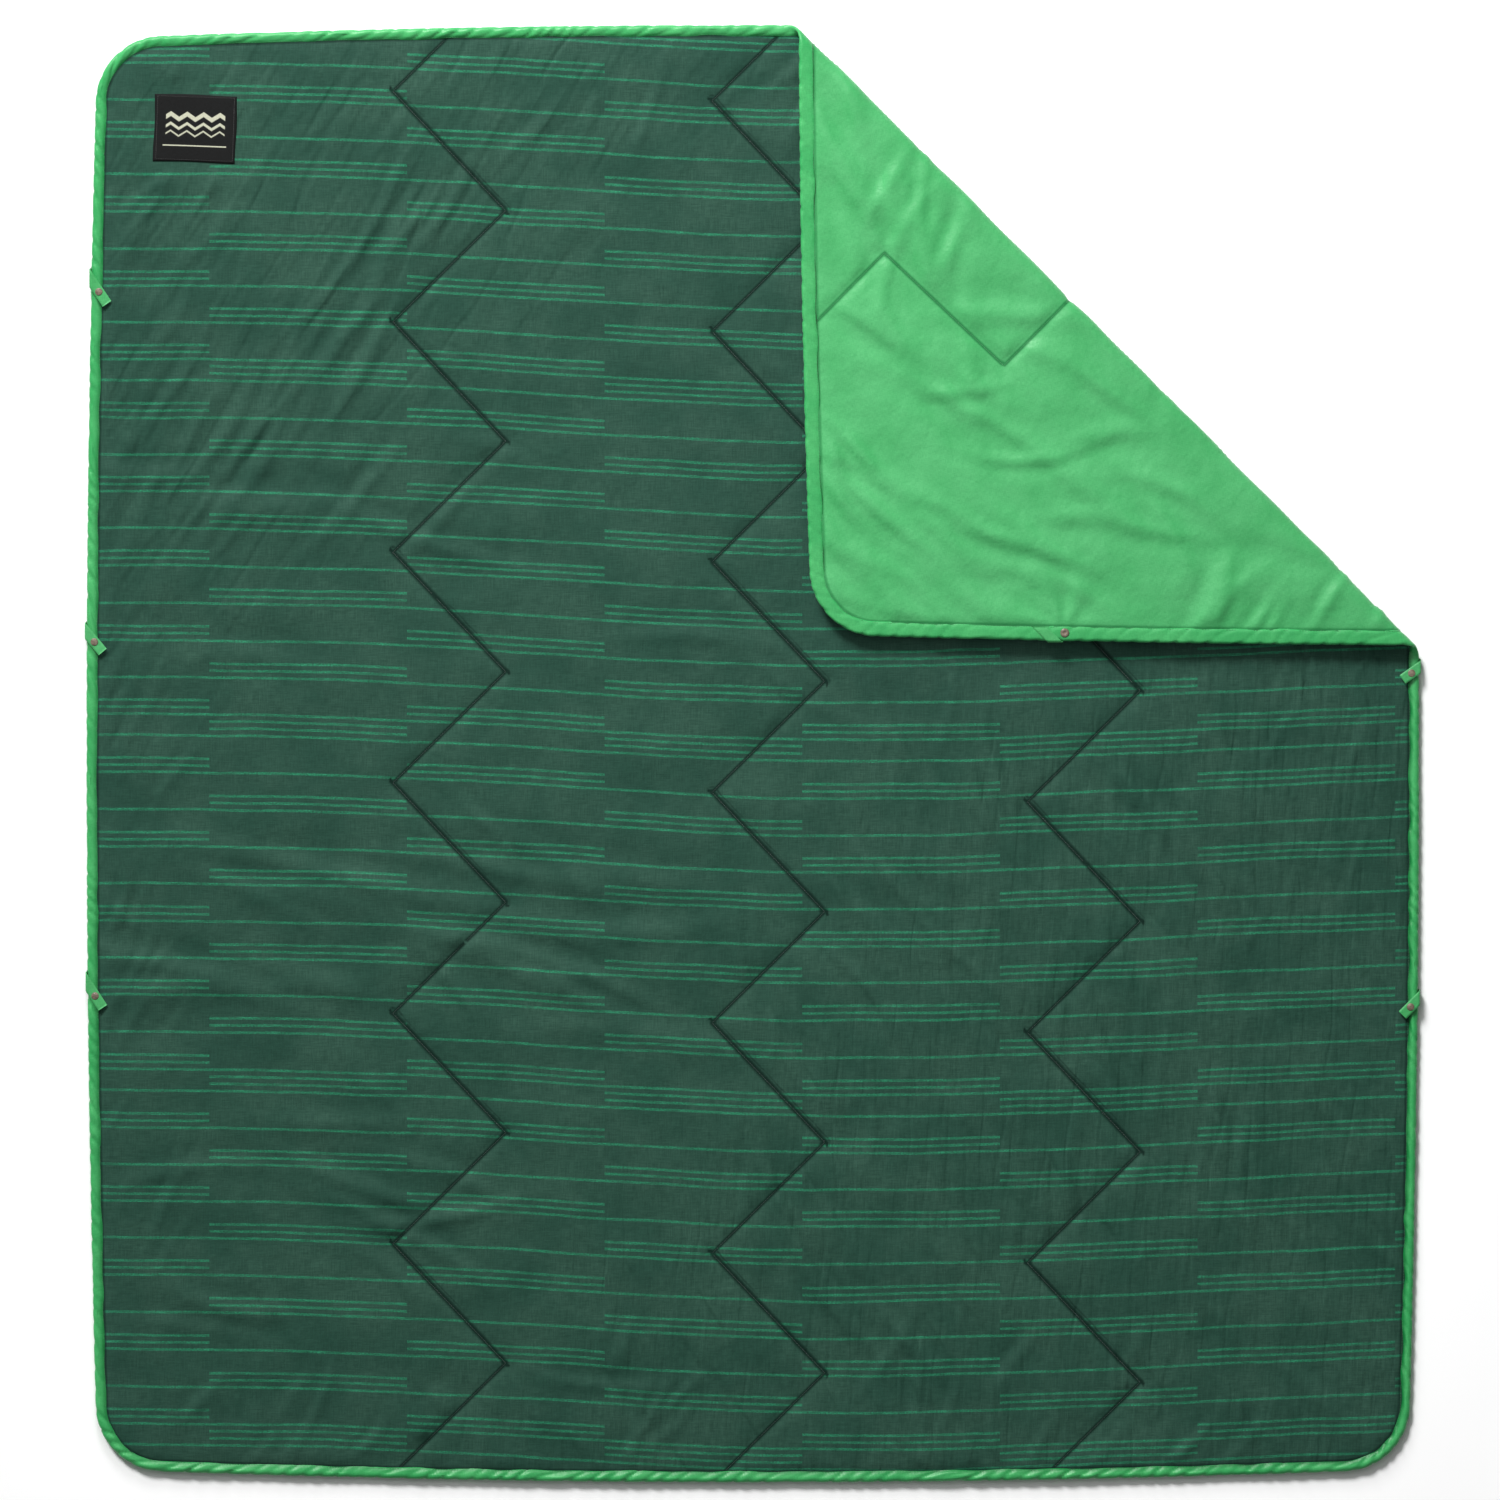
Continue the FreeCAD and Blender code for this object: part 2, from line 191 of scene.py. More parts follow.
# distance to the nearest seam, and distance to the nearest of those that lean down to the right,
# positive on its upper side
def seamDistances(x, y):
    place = np.stack([x, y], -1)
    nearest = np.full(x.shape, 1.0)
    leaning = np.full(x.shape, 1.0)
    for start, end in seams:
        span = end - start
        along = np.clip((place - start) @ span / (span @ span), 0, 1)
        away = place - start - along[..., None] * span
        gap = np.linalg.norm(away, axis=-1)
        nearest = np.minimum(nearest, gap)
        if span[0] > 0:
            signed = np.where(away[..., 0] + away[..., 1] >= 0, gap, -gap)
            leaning = np.where(gap < np.abs(leaning), signed, leaning)
    return nearest, leaning


# folding: u runs across the fold line and v along it; past the fold's start the cloth follows half a
# circle about the fold's centre, and beyond it lies upside down over the face; near the fold's axis
# the heights shrink towards the quilt's middle by fold["pinch"] exp(-(distance / width) squared)
fold = {"pinch": 0.42, "width": 28 * mm}


def foldOver(x, y, height):
    u, v = (x + y) / math.sqrt(2), (x - y) / math.sqrt(2)
    pinch = 1 - fold["pinch"] * np.exp(-((u - plan["foldAxis"]) / fold["width"]) ** 2)
    height = plan["middle"] + (height - plan["middle"]) * pinch
    angle = np.clip((u - plan["foldStart"]) / plan["foldRadius"], 0, math.pi)
    reach = plan["foldLevel"] - height
    before = np.minimum(u, plan["foldStart"])
    beyond = np.maximum(u - plan["foldEnd"], 0)
    across = before + reach * np.sin(angle) - beyond
    level = plan["foldLevel"] - reach * np.cos(angle)
    return np.stack([(across + v) / math.sqrt(2), (across - v) / math.sqrt(2), level], -1)


# meshes

def makeMesh(name, points, faces, materials, flat=None, smooth=True):
    mesh = bpy.data.meshes.new(name)
    mesh.from_pydata(np.asarray(points, float).reshape(-1, 3).tolist(), [], np.asarray(faces).tolist())
    mesh.update()
    if flat is not None:         # where each point lay on the open blanket, for patterns that follow the cloth
        mesh.attributes.new("flatPlace", "FLOAT_VECTOR", "POINT").data.foreach_set(
            "vector", np.asarray(flat, np.float32).reshape(-1))
    mesh.polygons.foreach_set("use_smooth", np.full(len(mesh.polygons), smooth))
    piece = bpy.data.objects.new(name, mesh)
    bpy.context.scene.collection.objects.link(piece)
    for material in materials:
        mesh.materials.append(material)
    return piece


# quads between the rows of a grid of rows by columns, closed round on itself where asked
def gridFaces(rows, columns, closeRows=False, closeColumns=False):
    row = np.arange(rows if closeRows else rows - 1)
    column = np.arange(columns if closeColumns else columns - 1)
    column, row = np.meshgrid(column, row)
    nextRow, nextColumn = (row + 1) % rows, (column + 1) % columns
    faces = np.stack([row * columns + column, row * columns + nextColumn,
                      nextRow * columns + nextColumn, nextRow * columns + column], -1)
    return faces.reshape(-1, 4)


# faces of a thin closed piece whose points are a top layer and then a lower one, count of each: the
# top quads, the same ones below turned over, and along every edge that only one top quad uses, a
# quad that joins the two layers
def closedFaces(quads, count):
    fromEdge, toEdge = quads.ravel(), np.roll(quads, -1, 1).ravel()
    single = ~np.isin(fromEdge * count + toEdge, toEdge * count + fromEdge)
    fromEdge, toEdge = fromEdge[single], toEdge[single]
    rim = np.stack([toEdge, fromEdge, fromEdge + count, toEdge + count], -1)
    return np.concatenate([quads, quads[:, ::-1] + count, rim])


# a random rolling surface: plane waves whose lengths and directions lie within a band, each of
# height cos(2 pi (along the wave) / length + phase), added up and brought to about -1 to 1
def rolling(x, y, length, direction, spread, count=14, seed=1):
    draw = np.random.default_rng(seed)
    total = np.zeros_like(x)
    for _ in range(count):
        angle = math.radians(direction + spread * draw.uniform(-1, 1))
        wave = length * draw.uniform(0.65, 1.5)
        phase = draw.uniform(0, 2 * math.pi)
        total += np.cos(2 * math.pi * (x * math.cos(angle) + y * math.sin(angle)) / wave + phase)
    return total / math.sqrt(count / 2) / 1.6


# Creases: each is a bent ridge, exp(-(along / length) squared) times a crest exp(-(across / width)
# squared) with a shallower trough beside it. They are scattered in a box round a centre, and lean by
# the box's direction give or take its spread.
def creases(x, y, zones, seed):
    draw = np.random.default_rng(seed)
    total = np.zeros_like(x)
    for zone in zones:
        (centreX, centreY), (halfX, halfY), (direction, spread), (longest, width), height, count = zone
        for _ in range(count):
            a, b, turn, size, bend, wide, tall = draw.uniform(-1, 1, 7)
            angle = math.radians(direction + spread * turn)
            aheadX, aheadY = math.cos(angle), math.sin(angle)
            fromX, fromY = x - centreX - halfX * a, y - centreY - halfY * b
            length = longest * (1 + 0.4 * size)
            near = np.abs(fromX) + np.abs(fromY) < 3.2 * length
            along = (fromX[near] * aheadX + fromY[near] * aheadY) / length
            spanWidth = width * (1 + 0.3 * wide)
            bow = 0.175 * bend * along ** 2 * length / spanWidth
            across = (fromY[near] * aheadX - fromX[near] * aheadY) / spanWidth - bow
            ridge = np.exp(-across ** 2) - 0.55 * np.exp(-((across - 1.7) / 1.3) ** 2)
            total[near] += height * (0.8 + 0.3 * tall) * np.exp(-along ** 2) * ridge
    return total


# Grooves that carry a seam's line on past its corner: depth times exp(-(across / width) squared)
# times (1 - along / reach) to the power 1.3. A seam that leans down to the left has a shorter one.
def seamTails(x, y, length, depth, width, seed):
    draw = np.random.default_rng(seed)
    total = np.zeros_like(x)
    for start, end in seams:
        share = 1.0
        if end[0] < start[0]:
            start, end, share = end, start, 0.45
        ahead = (end - start) / np.linalg.norm(end - start)
        turn = math.radians(draw.uniform(-4, 14))
        aheadX = ahead[0] * math.cos(turn) + ahead[1] * math.sin(turn)
        aheadY = ahead[1] * math.cos(turn) - ahead[0] * math.sin(turn)
        reach = length * share * draw.uniform(0.6, 1.2)
        along = ((x - end[0]) * aheadX + (y - end[1]) * aheadY) / reach
        widening = 1 + 0.8 * np.clip(along, 0, 1)
        across = ((y - end[1]) * aheadX - (x - end[0]) * aheadY) / (width * widening)
        fading = np.clip(1 - along, 0, 1) ** 1.3 * (along > -0.02)
        total += depth * share * np.exp(-across ** 2) * fading
    return total


# shader helpers

class Value:                     # one output of a shader tree; arithmetic on it adds Math nodes
    def __init__(self, tree, socket):
        self.tree, self.socket = tree, socket

    def math(self, operation, *values):
        return makeNode(self.tree, "ShaderNodeMath", {"operation": operation}, dict(enumerate(values)))

    def __add__(self, other): return self.math("ADD", self, other)
    def __radd__(self, other): return self.math("ADD", other, self)
    def __sub__(self, other): return self.math("SUBTRACT", self, other)
    def __rsub__(self, other): return self.math("SUBTRACT", other, self)
    def __mul__(self, other): return self.math("MULTIPLY", self, other)
    def __rmul__(self, other): return self.math("MULTIPLY", other, self)
    def __truediv__(self, other): return self.math("DIVIDE", self, other)
    def __rtruediv__(self, other): return self.math("DIVIDE", other, self)
    def __lt__(self, other): return self.math("LESS_THAN", self, other)
    def __abs__(self): return self.math("ABSOLUTE", self)


def makeNode(tree, kind, settings=None, values=None, output=0):
    node = tree.nodes.new(kind)
    for name, setting in (settings or {}).items():
        setattr(node, name, setting)
    for key, value in (values or {}).items():
        if isinstance(value, Value):
            tree.links.new(value.socket, node.inputs[key])
        elif isinstance(value, (tuple, list)) and len(value) == 3 and len(node.inputs[key].default_value) == 4:
            node.inputs[key].default_value = (*value, 1)
        else:
            node.inputs[key].default_value = value
    return Value(tree, node.outputs[output])


class Finish:                    # a material with one Principled shader, and short names for common nodes
    def __init__(self, name, **constants):
        self.material = bpy.data.materials.new(name)
        self.material.use_nodes = True
        self.tree = self.material.node_tree
        self.shader = next(n for n in self.tree.nodes if n.type == "BSDF_PRINCIPLED")
        for socket, value in constants.items():
            self.shader.inputs[socket.replace("_", " ")].default_value = value

    def node(self, kind, settings=None, values=None, output=0):
        return makeNode(self.tree, kind, settings, values, output)

    def place(self, attribute=None):
        if attribute:
            return self.node("ShaderNodeAttribute", {"attribute_name": attribute}, output="Vector")
        return self.node("ShaderNodeTexCoord", output="Object")

    def number(self, attribute):
        return self.node("ShaderNodeAttribute", {"attribute_name": attribute}, output="Fac")

    # painted shade: dark lines coloured into the ditch where a seam pulls the cloth in, and along the hem, 1 on
    # the line and 0 a few millimetres off it. On the face, the painted shade of the seams that lean down to the
    # right is wider, and doubled in places.
    def paintedDitchShade(self, flat, edge, doubled=False):
        broken = self.noise(flat, 40.0, 2.0)
        seam = self.fade(self.number("seamGap"), 0.9 * mm, 4.4 * mm, 1.0, 0.0)
        if doubled:
            lean = self.number("leanGap")
            wide = self.fade(abs(lean - 0.6 * mm), 1.4 * mm, 6.2 * mm, 1.0, 0.0)
            second = self.fade(abs(lean - 7.5 * mm - (broken - 0.5) * 0.006), 0.4 * mm, 2.6 * mm, 0.7, 0.0)
            second = second * self.fade(self.noise(flat, 8.0, 1.0), 0.42, 0.60)
            beside = self.fade(self.number("seamGap"), 6 * mm, 9.5 * mm, 1.0, 0.0)
            seam = seam.math("MAXIMUM", seam, wide.math("MAXIMUM", wide, second) * beside)
        # painted shade along the ditch beside the binding's inner edge
        hem = self.fade(abs(self.number("edgeGap")), 0.5 * mm, 4.0 * mm, 1.0, 0.0)
        return seam, hem * edge

    # streaks that lean by an angle: noise drawn out along it, folded so that it has sharp valleys
    def streaks(self, x, y, angle, across, along):
        turn = math.radians(angle)
        over = (x * math.sin(turn) - y * math.cos(turn)) * across
        ahead = (x * math.cos(turn) + y * math.sin(turn)) * along
        spot = self.node("ShaderNodeCombineXYZ", values={0: over, 1: ahead})
        cloud = self.noise(spot, 1.0, 2.0, 0.5)
        return self.fade(abs(cloud - 0.5), 0.0, 0.12)

    def split(self, vector):
        node = self.node("ShaderNodeSeparateXYZ", values={0: vector}).socket.node
        return [Value(self.tree, socket) for socket in node.outputs]

    def stretch(self, vector, scale):
        return self.node("ShaderNodeVectorMath", {"operation": "MULTIPLY"}, {0: vector, 1: scale})

    def noise(self, vector, scale, detail=2.0, roughness=0.5):
        return self.node("ShaderNodeTexNoise", {"normalize": True},
                         {"Vector": vector, "Scale": scale, "Detail": detail, "Roughness": roughness})

    def mix(self, factor, first, second):
        return self.node("ShaderNodeMix", {"data_type": "RGBA"}, {0: factor, 6: first, 7: second}, output=2)

    def fade(self, value, low, high, start=0.0, end=1.0):
        return self.node("ShaderNodeMapRange", {"interpolation_type": "SMOOTHSTEP"},
                         {0: value, 1: low, 2: high, 3: start, 4: end})

    def bump(self, height, distance, normal=None):
        values = {"Height": height, "Distance": distance, "Strength": 1.0}
        if normal:
            values["Normal"] = normal
        return self.node("ShaderNodeBump", values=values)

    def wire(self, **links):
        for socket, value in links.items():
            self.tree.links.new(value.socket, self.shader.inputs[socket.replace("_", " ")])
        return self.material


# sRGB shown on screen, as the linear colour a shader takes
def shown(red, green, blue, gain=1.0):
    parts = np.array([red, green, blue]) / 255
    linear = np.where(parts <= 0.04045, parts / 12.92, ((parts + 0.055) / 1.055) ** 2.4)
    return tuple(float(min(1, c * gain)) for c in linear)


# face cloth: printed plain weave

printed = {
    "repeat": 484.7 * mm,        # height of one repeat of the line print
    "anchor": 55.5 * mm,         # where a repeat starts, up the blanket
    "shortStep": 28.7 * mm,      # the first two lines of a repeat are this close
    "lineStep": 50.67 * mm,      # the others
    "closeStep": 9.64 * mm,      # between the lines of a group of three
    "lineHalf": 1.75 * mm,
    "column": 270 * mm,
    "columnAnchor": -742.6 * mm,
    "sag": 37 * mm,              # the lines hang lower in the middle
    "sagAt": 115 * mm,
    "sagLeft": 500 * mm,
    "sagRight": 710 * mm,
}


def faceFinish():
    cloth = Finish("face_cloth", Roughness=0.62, Sheen_Weight=0.08, Sheen_Roughness=0.45,
                   Sheen_Tint=(0.35, 0.85, 0.65, 1), Specular_IOR_Level=0.07)
    flat = cloth.place("flatPlace")
    x, y, _ = cloth.split(flat)
    wander = cloth.noise(flat, 5.0, 2.0)
    fromMiddle = x - printed["sagAt"]
    width = cloth.fade(fromMiddle, -0.08, 0.08, printed["sagLeft"], printed["sagRight"])
    ratio = fromMiddle / width
    sag = (0 - ratio * ratio).math("EXPONENT", 0 - ratio * ratio) * printed["sag"]
    pattern = y + sag + (wander - 0.5) * 0.008
    below = printed["anchor"] - pattern
    turns = below / printed["repeat"]
    inRepeat = (turns - turns.math("FLOOR", turns)) * printed["repeat"]
    pastShort = inRepeat - printed["shortStep"]
    steps = pastShort / printed["lineStep"]
    lineIndex = steps.math("CEIL", steps)
    above = (lineIndex - steps) * printed["lineStep"]
    ragged = cloth.noise(cloth.stretch(flat, (220.0, 700.0, 1.0)), 1.0, 3.0, 0.7)
    speckle = cloth.noise(cloth.stretch(flat, (420.0, 900.0, 1.0)), 1.0, 2.0, 0.6)
    blur = (ragged - 0.5) * (1.6 * mm)
    half = printed["lineHalf"]

    def line(gap):
        return cloth.fade(abs(gap) + blur, half - 0.6 * mm, half + 0.6 * mm, 1.0, 0.0)

    columns = (x - printed["columnAnchor"]) / printed["column"]
    count = (columns.math("FLOOR", columns) + lineIndex) / 2
    triple = (count - count.math("FLOOR", count)) < 0.25
    fromNext = printed["lineStep"] - above
    fromRepeat = inRepeat.math("MINIMUM", inRepeat, printed["repeat"] - inRepeat)
    single = line(above).math("MAXIMUM", line(above), line(fromNext))
    single = single.math("MAXIMUM", single, line(fromRepeat))
    second = line(above - printed["closeStep"])
    third = line(above - 2 * printed["closeStep"])
    group = second.math("MAXIMUM", second, third) * triple
    ink = single.math("MAXIMUM", single, group)
    heather = cloth.noise(cloth.stretch(flat, (34.0, 160.0, 1.0)), 1.0, 3.0, 0.7)
    ink = ink * cloth.fade(speckle, 0.30, 0.64, 0.15, 1.0) * cloth.fade(heather, 0.30, 0.66, 0.45, 1.0)
    alongX = cloth.noise(cloth.stretch(flat, (45.0, 900.0, 1.0)), 1.0, 3.0, 0.6)
    alongY = cloth.noise(cloth.stretch(flat, (900.0, 45.0, 1.0)), 1.0, 3.0, 0.6)
    weave = alongX + alongY - 1.0
    patches = cloth.noise(flat, 9.0, 3.0, 0.6)
    ground = cloth.mix(cloth.fade(patches, 0.3, 0.7), shown(44, 82, 68, 0.72), shown(58, 94, 79, 0.72))
    ground = cloth.mix(cloth.fade(weave, -0.22, 0.22), cloth.mix(0.6, ground, shown(34, 66, 55, 0.7)), ground)
    inkColour = cloth.mix(cloth.fade(alongX, 0.35, 0.65), shown(36, 124, 88, 0.78), shown(54, 152, 112, 0.78))
    colour = cloth.mix(ink, ground, inkColour)
    threads = alongX.math("MAXIMUM", alongX, alongY)
    seam, hem = cloth.paintedDitchShade(flat, 0.75, doubled=True)
    # painted shade: the seam and hem lines are mixed towards this dark green
    colour = cloth.mix(seam.math("MAXIMUM", seam, hem) * 0.88, colour, shown(10, 34, 27, 0.8))
    crumple = cloth.noise(flat, 48.0, 4.0, 0.55)
    lowRight = cloth.fade(x - y * 0.8 + (wander - 0.5) * 0.5, 0.05, 0.55)
    upLeft = cloth.fade(x - y * 0.9, -0.55, -1.15)
    rising = cloth.streaks(x, y, 60, 20.0, 4.0)
    falling = cloth.streaks(x, y, -62, 18.0, 4.0)
    upright = cloth.streaks(x, y, 87, 34.0, 5.0)
    normal = cloth.bump(crumple, 1.5 * mm)
    normal = cloth.bump(rising * upLeft + (1.0 - upLeft), 1.3 * mm, normal=normal)
    normal = cloth.bump((falling + upright * 0.5) * lowRight, 1.35 * mm, normal=normal)
    normal = cloth.bump(threads, 0.16 * mm, normal=normal)
    return cloth.wire(Base_Color=colour, Normal=normal,
                      Roughness=cloth.fade(threads, 0.3, 0.8, 0.72, 0.56))


# lining, binding and straps: satin taffeta

# fold is the size of the fine folds, as a noise scale, and foldDepth their height in millimetres; the last
# colour, where given, is painted shade along the seams and hems
def satinFinish(name, dark, mid, light, place, roughness, fold, foldDepth, ditchShade=None):
    satin = Finish(name, Roughness=roughness, Sheen_Weight=0.12, Sheen_Roughness=0.35,
                   Sheen_Tint=(0.75, 1.0, 0.8, 1), Specular_IOR_Level=0.3)
    spot = satin.place(place)
    cloud = satin.noise(spot, 14.0, 3.0, 0.55)
    fibre = satin.noise(satin.stretch(spot, (1400.0, 160.0, 160.0)), 1.0, 2.0, 0.6)
    cross = satin.noise(satin.stretch(spot, (160.0, 1400.0, 160.0)), 1.0, 2.0, 0.6)
    colour = satin.mix(satin.fade(cloud, 0.32, 0.68), mid, light)
    colour = satin.mix(satin.fade(fibre + cross, 0.75, 1.2, 0.35, 0.0), colour, dark)
    if name == "binding_tape":     # painted shade: the inner slope is coloured darker, most of all down the right side
        across, _, _ = satin.split(spot)
        slope = satin.fade(satin.number("tapeSide"), 0.26, 0.04)
        colour = satin.mix(slope * satin.fade(across, -0.8, 0.85, 0.55, 0.95), colour, shown(6, 118, 54, 0.8))
    # painted shade along seams and hems, in the given dark colour
    if ditchShade:
        seam, hem = satin.paintedDitchShade(spot, 0.8)
        colour = satin.mix(seam.math("MAXIMUM", seam, hem) * 0.85, colour, ditchShade)
    crumple = satin.noise(spot, fold, 4.0, 0.5)
    normal = satin.bump(crumple, foldDepth * mm)
    normal = satin.bump(fibre + cross, 0.08 * mm, normal=normal)
    return satin.wire(Base_Color=colour, Normal=normal,
                      Roughness=satin.fade(fibre, 0.3, 0.7, roughness + 0.06, roughness - 0.05))


def threadFinish(name, colour):
    thread = Finish(name, Roughness=0.55, Sheen_Weight=0.3)
    twist = thread.noise(thread.stretch(thread.place(), (900.0, 900.0, 900.0)), 1.0, 2.0)
    shade = thread.mix(thread.fade(twist, 0.3, 0.7), tuple(c * 0.7 for c in colour), colour)
    return thread.wire(Base_Color=shade, Normal=thread.bump(twist, 0.1 * mm))


def waddingFinish():
    wadding = Finish("wadding", Roughness=0.95, Sheen_Weight=0.5)
    tufts = wadding.noise(wadding.place(), 180.0, 5.0, 0.65)
    shade = wadding.mix(wadding.fade(tufts, 0.3, 0.7), shown(205, 205, 200), shown(240, 240, 236))
    return wadding.wire(Base_Color=shade, Normal=wadding.bump(tufts, 1.5 * mm))


def studFinish():
    stud = Finish("press_stud", Roughness=0.38, Metallic=0.0, Specular_IOR_Level=0.5, Coat_Weight=0.15)
    spot = stud.place()
    grain = stud.noise(spot, 900.0, 3.0, 0.6)
    worn = stud.noise(spot, 260.0, 3.0, 0.6)
    shade = stud.mix(stud.fade(worn, 0.35, 0.7), shown(92, 80, 68), shown(128, 114, 98))
    return stud.wire(Base_Color=shade, Roughness=stud.fade(worn, 0.3, 0.7, 0.32, 0.5),
                     Normal=stud.bump(grain, 0.05 * mm))


# woven patch: cream chevrons and two rules on black, in the patch's own places from -0.5 to 0.5
def labelFinish():
    label = Finish("label_cloth", Roughness=0.7, Specular_IOR_Level=0.08)
    own = label.place("labelPlace")
    x, y, _ = label.split(own)
    weft = label.noise(label.stretch(own, (30.0, 420.0, 1.0)), 1.0, 2.0)
    warp = label.noise(label.stretch(own, (520.0, 24.0, 1.0)), 1.0, 2.0)
    saw = (x * 5.0).math("PINGPONG", x * 5.0 + 10.0, 0.5)

    def chevron(level, half):
        return label.fade(abs(y - level - (saw - 0.25) * 0.16), half - 0.008, half + 0.008, 1.0, 0.0)

    inside = label.fade(abs(x), 0.355, 0.365, 1.0, 0.0)
    motif = chevron(0.17, 0.035).math("MAXIMUM", chevron(0.17, 0.035), chevron(0.03, 0.022))
    motif = motif.math("MAXIMUM", motif, chevron(-0.08, 0.012)) * inside
    rule = label.fade(abs(y + 0.26), 0.006, 0.012, 1.0, 0.0) * label.fade(abs(x), 0.385, 0.39, 1.0, 0.0)
    cream = motif.math("MAXIMUM", motif, rule) * label.fade(weft, 0.25, 0.5, 0.75, 1.0)
    black = label.mix(label.fade(weft + warp, 0.8, 1.2), shown(20, 20, 20, 0.8), shown(32, 33, 33, 0.8))
    colour = label.mix(cream, black, shown(205, 206, 182, 0.75))
    return label.wire(Base_Color=colour, Normal=label.bump(weft + warp + cream, 0.15 * mm))


print("finishes")
faceCloth = faceFinish()
# the lining's last colour is the painted shade of its seam and hem ditches
liningCloth = satinFinish(
    "lining_cloth", shown(30, 140, 75, 0.8), shown(74, 176, 104, 0.80), shown(84, 182, 112, 0.82),
    place="flatPlace", roughness=0.46, fold=34.0, foldDepth=2.2, ditchShade=shown(8, 120, 58, 0.75))
bindingTape = satinFinish(
    "binding_tape", shown(30, 140, 75, 0.8), shown(58, 170, 94, 0.8), shown(74, 180, 104, 0.82),
    place="flatPlace", roughness=0.42, fold=90.0, foldDepth=0.6)
strapCloth = satinFinish(
    "strap_cloth", shown(30, 140, 75, 0.7), shown(70, 178, 100, 0.72), shown(84, 186, 112, 0.72),
    place=None, roughness=0.5, fold=200.0, foldDepth=0.3)
quiltThread = threadFinish("quilt_thread", shown(18, 50, 40, 0.8))
liningThread = threadFinish("lining_thread", shown(40, 150, 80, 0.75))
tapeThread = threadFinish("tape_thread", shown(34, 140, 74, 0.7))
labelThread = threadFinish("label_thread", shown(30, 29, 26))
waddingCloth = waddingFinish()
pressStud = studFinish()
labelCloth = labelFinish()

# the two cloths of the quilt

cloths = {
    "step": 6.1 * mm,            # grid size of the cloth
    "edgeInset": 5 * mm,         # the cloths end this far inside the binding's outer edge
    "edgeDepth": 0.34,           # share of the puff that is lost at the binding
    "edgeRound": 26 * mm,        # and how far in from it that fades
    "frames": 8,
    "softHold": 0.33,            # how firmly the cloth away from seams and edge keeps its place
    "pressure": 1.0,
    "creasing": 1.9,             # strength of the drawn creases
    "faceUnderTape": 8.4 * mm,   # under the binding's flange the face keeps below this level,
    "liningUnderTape": 5.6 * mm,     # and the lining above this one
    "apart": 0.6 * mm,           # least height of either cloth above or below the middle
    "crest": 0.66,               # share of the half loft that the puffs reach before they are creased
    "headroom": 2 * mm,          # creases may stand this far above the loft
    "excess": 0.013,             # extra length in the cloths beyond their seams
}


# a square grid trimmed to the outline, with the rows beside it moved onto it, and the diagonal rows
# beside each seam moved onto the seam
def quiltGrid(step):
    x = np.arange(-plan["halfWidth"] + step / 3, plan["halfWidth"], step)
    y = np.arange(-plan["halfLength"] + step / 3, plan["halfLength"], step)
    shapeOf = (len(y), len(x))
    x, y = [a.ravel().copy() for a in np.meshgrid(x, y)]
    onSeam = np.zeros(x.size, bool)
    for start, end in seams:
        span = end - start
        length = np.linalg.norm(span)
        ahead = span / length
        side = np.array([-ahead[1], ahead[0]])
        along = (x - start[0]) * ahead[0] + (y - start[1]) * ahead[1]
        off = (x - start[0]) * side[0] + (y - start[1]) * side[1]
        near = (along > -step / 2) & (along < length + step / 2) & ~onSeam
        near &= (off >= -step * 0.36) & (off < step * 0.36)
        x[near] -= off[near] * side[0]
        y[near] -= off[near] * side[1]
        onSeam |= near
    inset = insetOf(x, y)
    faces = gridFaces(*shapeOf)
    keep = (inset[faces] > cloths["edgeInset"]).any(1)
    faces = faces[keep]
    used = np.zeros(x.size, bool)
    used[faces.ravel()] = True
    outside = used & (inset < cloths["edgeInset"])
    inward = inwardOf(x[outside], y[outside])
    gap = cloths["edgeInset"] - inset[outside]
    x[outside] += inward[:, 0] * gap
    y[outside] += inward[:, 1] * gap
    number = np.cumsum(used) - 1
    # a quad is split from its first point to its third, so the ones on a seam start on the seam
    across = onSeam[faces[:, 1]] & onSeam[faces[:, 3]] & ~(onSeam[faces[:, 0]] & onSeam[faces[:, 2]])
    faces[across] = np.roll(faces[across], 1, 1)
    return x[used], y[used], onSeam[used], number[faces]


puffs = {                        # how the puff sinks to its seams, as shares of its height, and how wide
    "sharp": 0.55, "sharpWidth": 5.5 * mm,
    "broad": 0.40, "broadWidth": 30 * mm,
    "leanAbove": 0.16, "leanBelow": 0.05, "leanWidth": 16 * mm,
    "deepest": 0.95,
    "flatRim": 14 * mm,          # the edge's own dip is deepest this far in
}


# height of the puff between 0 at the quilt's mid-plane and 1 at full loft: 1 less a sharp and a broad
# exp(-distance / width) at each seam, times 1 less the same at the edge; back widens the seams
def puffOf(x, y, back=0.0):
    seam, leaning = seamDistances(x, y)
    seam = np.maximum(seam - back, 0)
    inset = insetOf(x, y)
    atSeam = puffs["sharp"] * np.exp(-seam / puffs["sharpWidth"])
    atSeam = atSeam + puffs["broad"] * np.exp(-seam / puffs["broadWidth"])
    lean = np.where(leaning > 0, puffs["leanAbove"], puffs["leanBelow"])
    atLeaning = lean * np.exp(-np.abs(leaning) / puffs["leanWidth"])
    atEdge = cloths["edgeDepth"] * np.exp(-np.maximum(inset - puffs["flatRim"], 0) / cloths["edgeRound"])
    return (1 - np.minimum(atSeam + atLeaning, puffs["deepest"])) * (1 - atEdge)


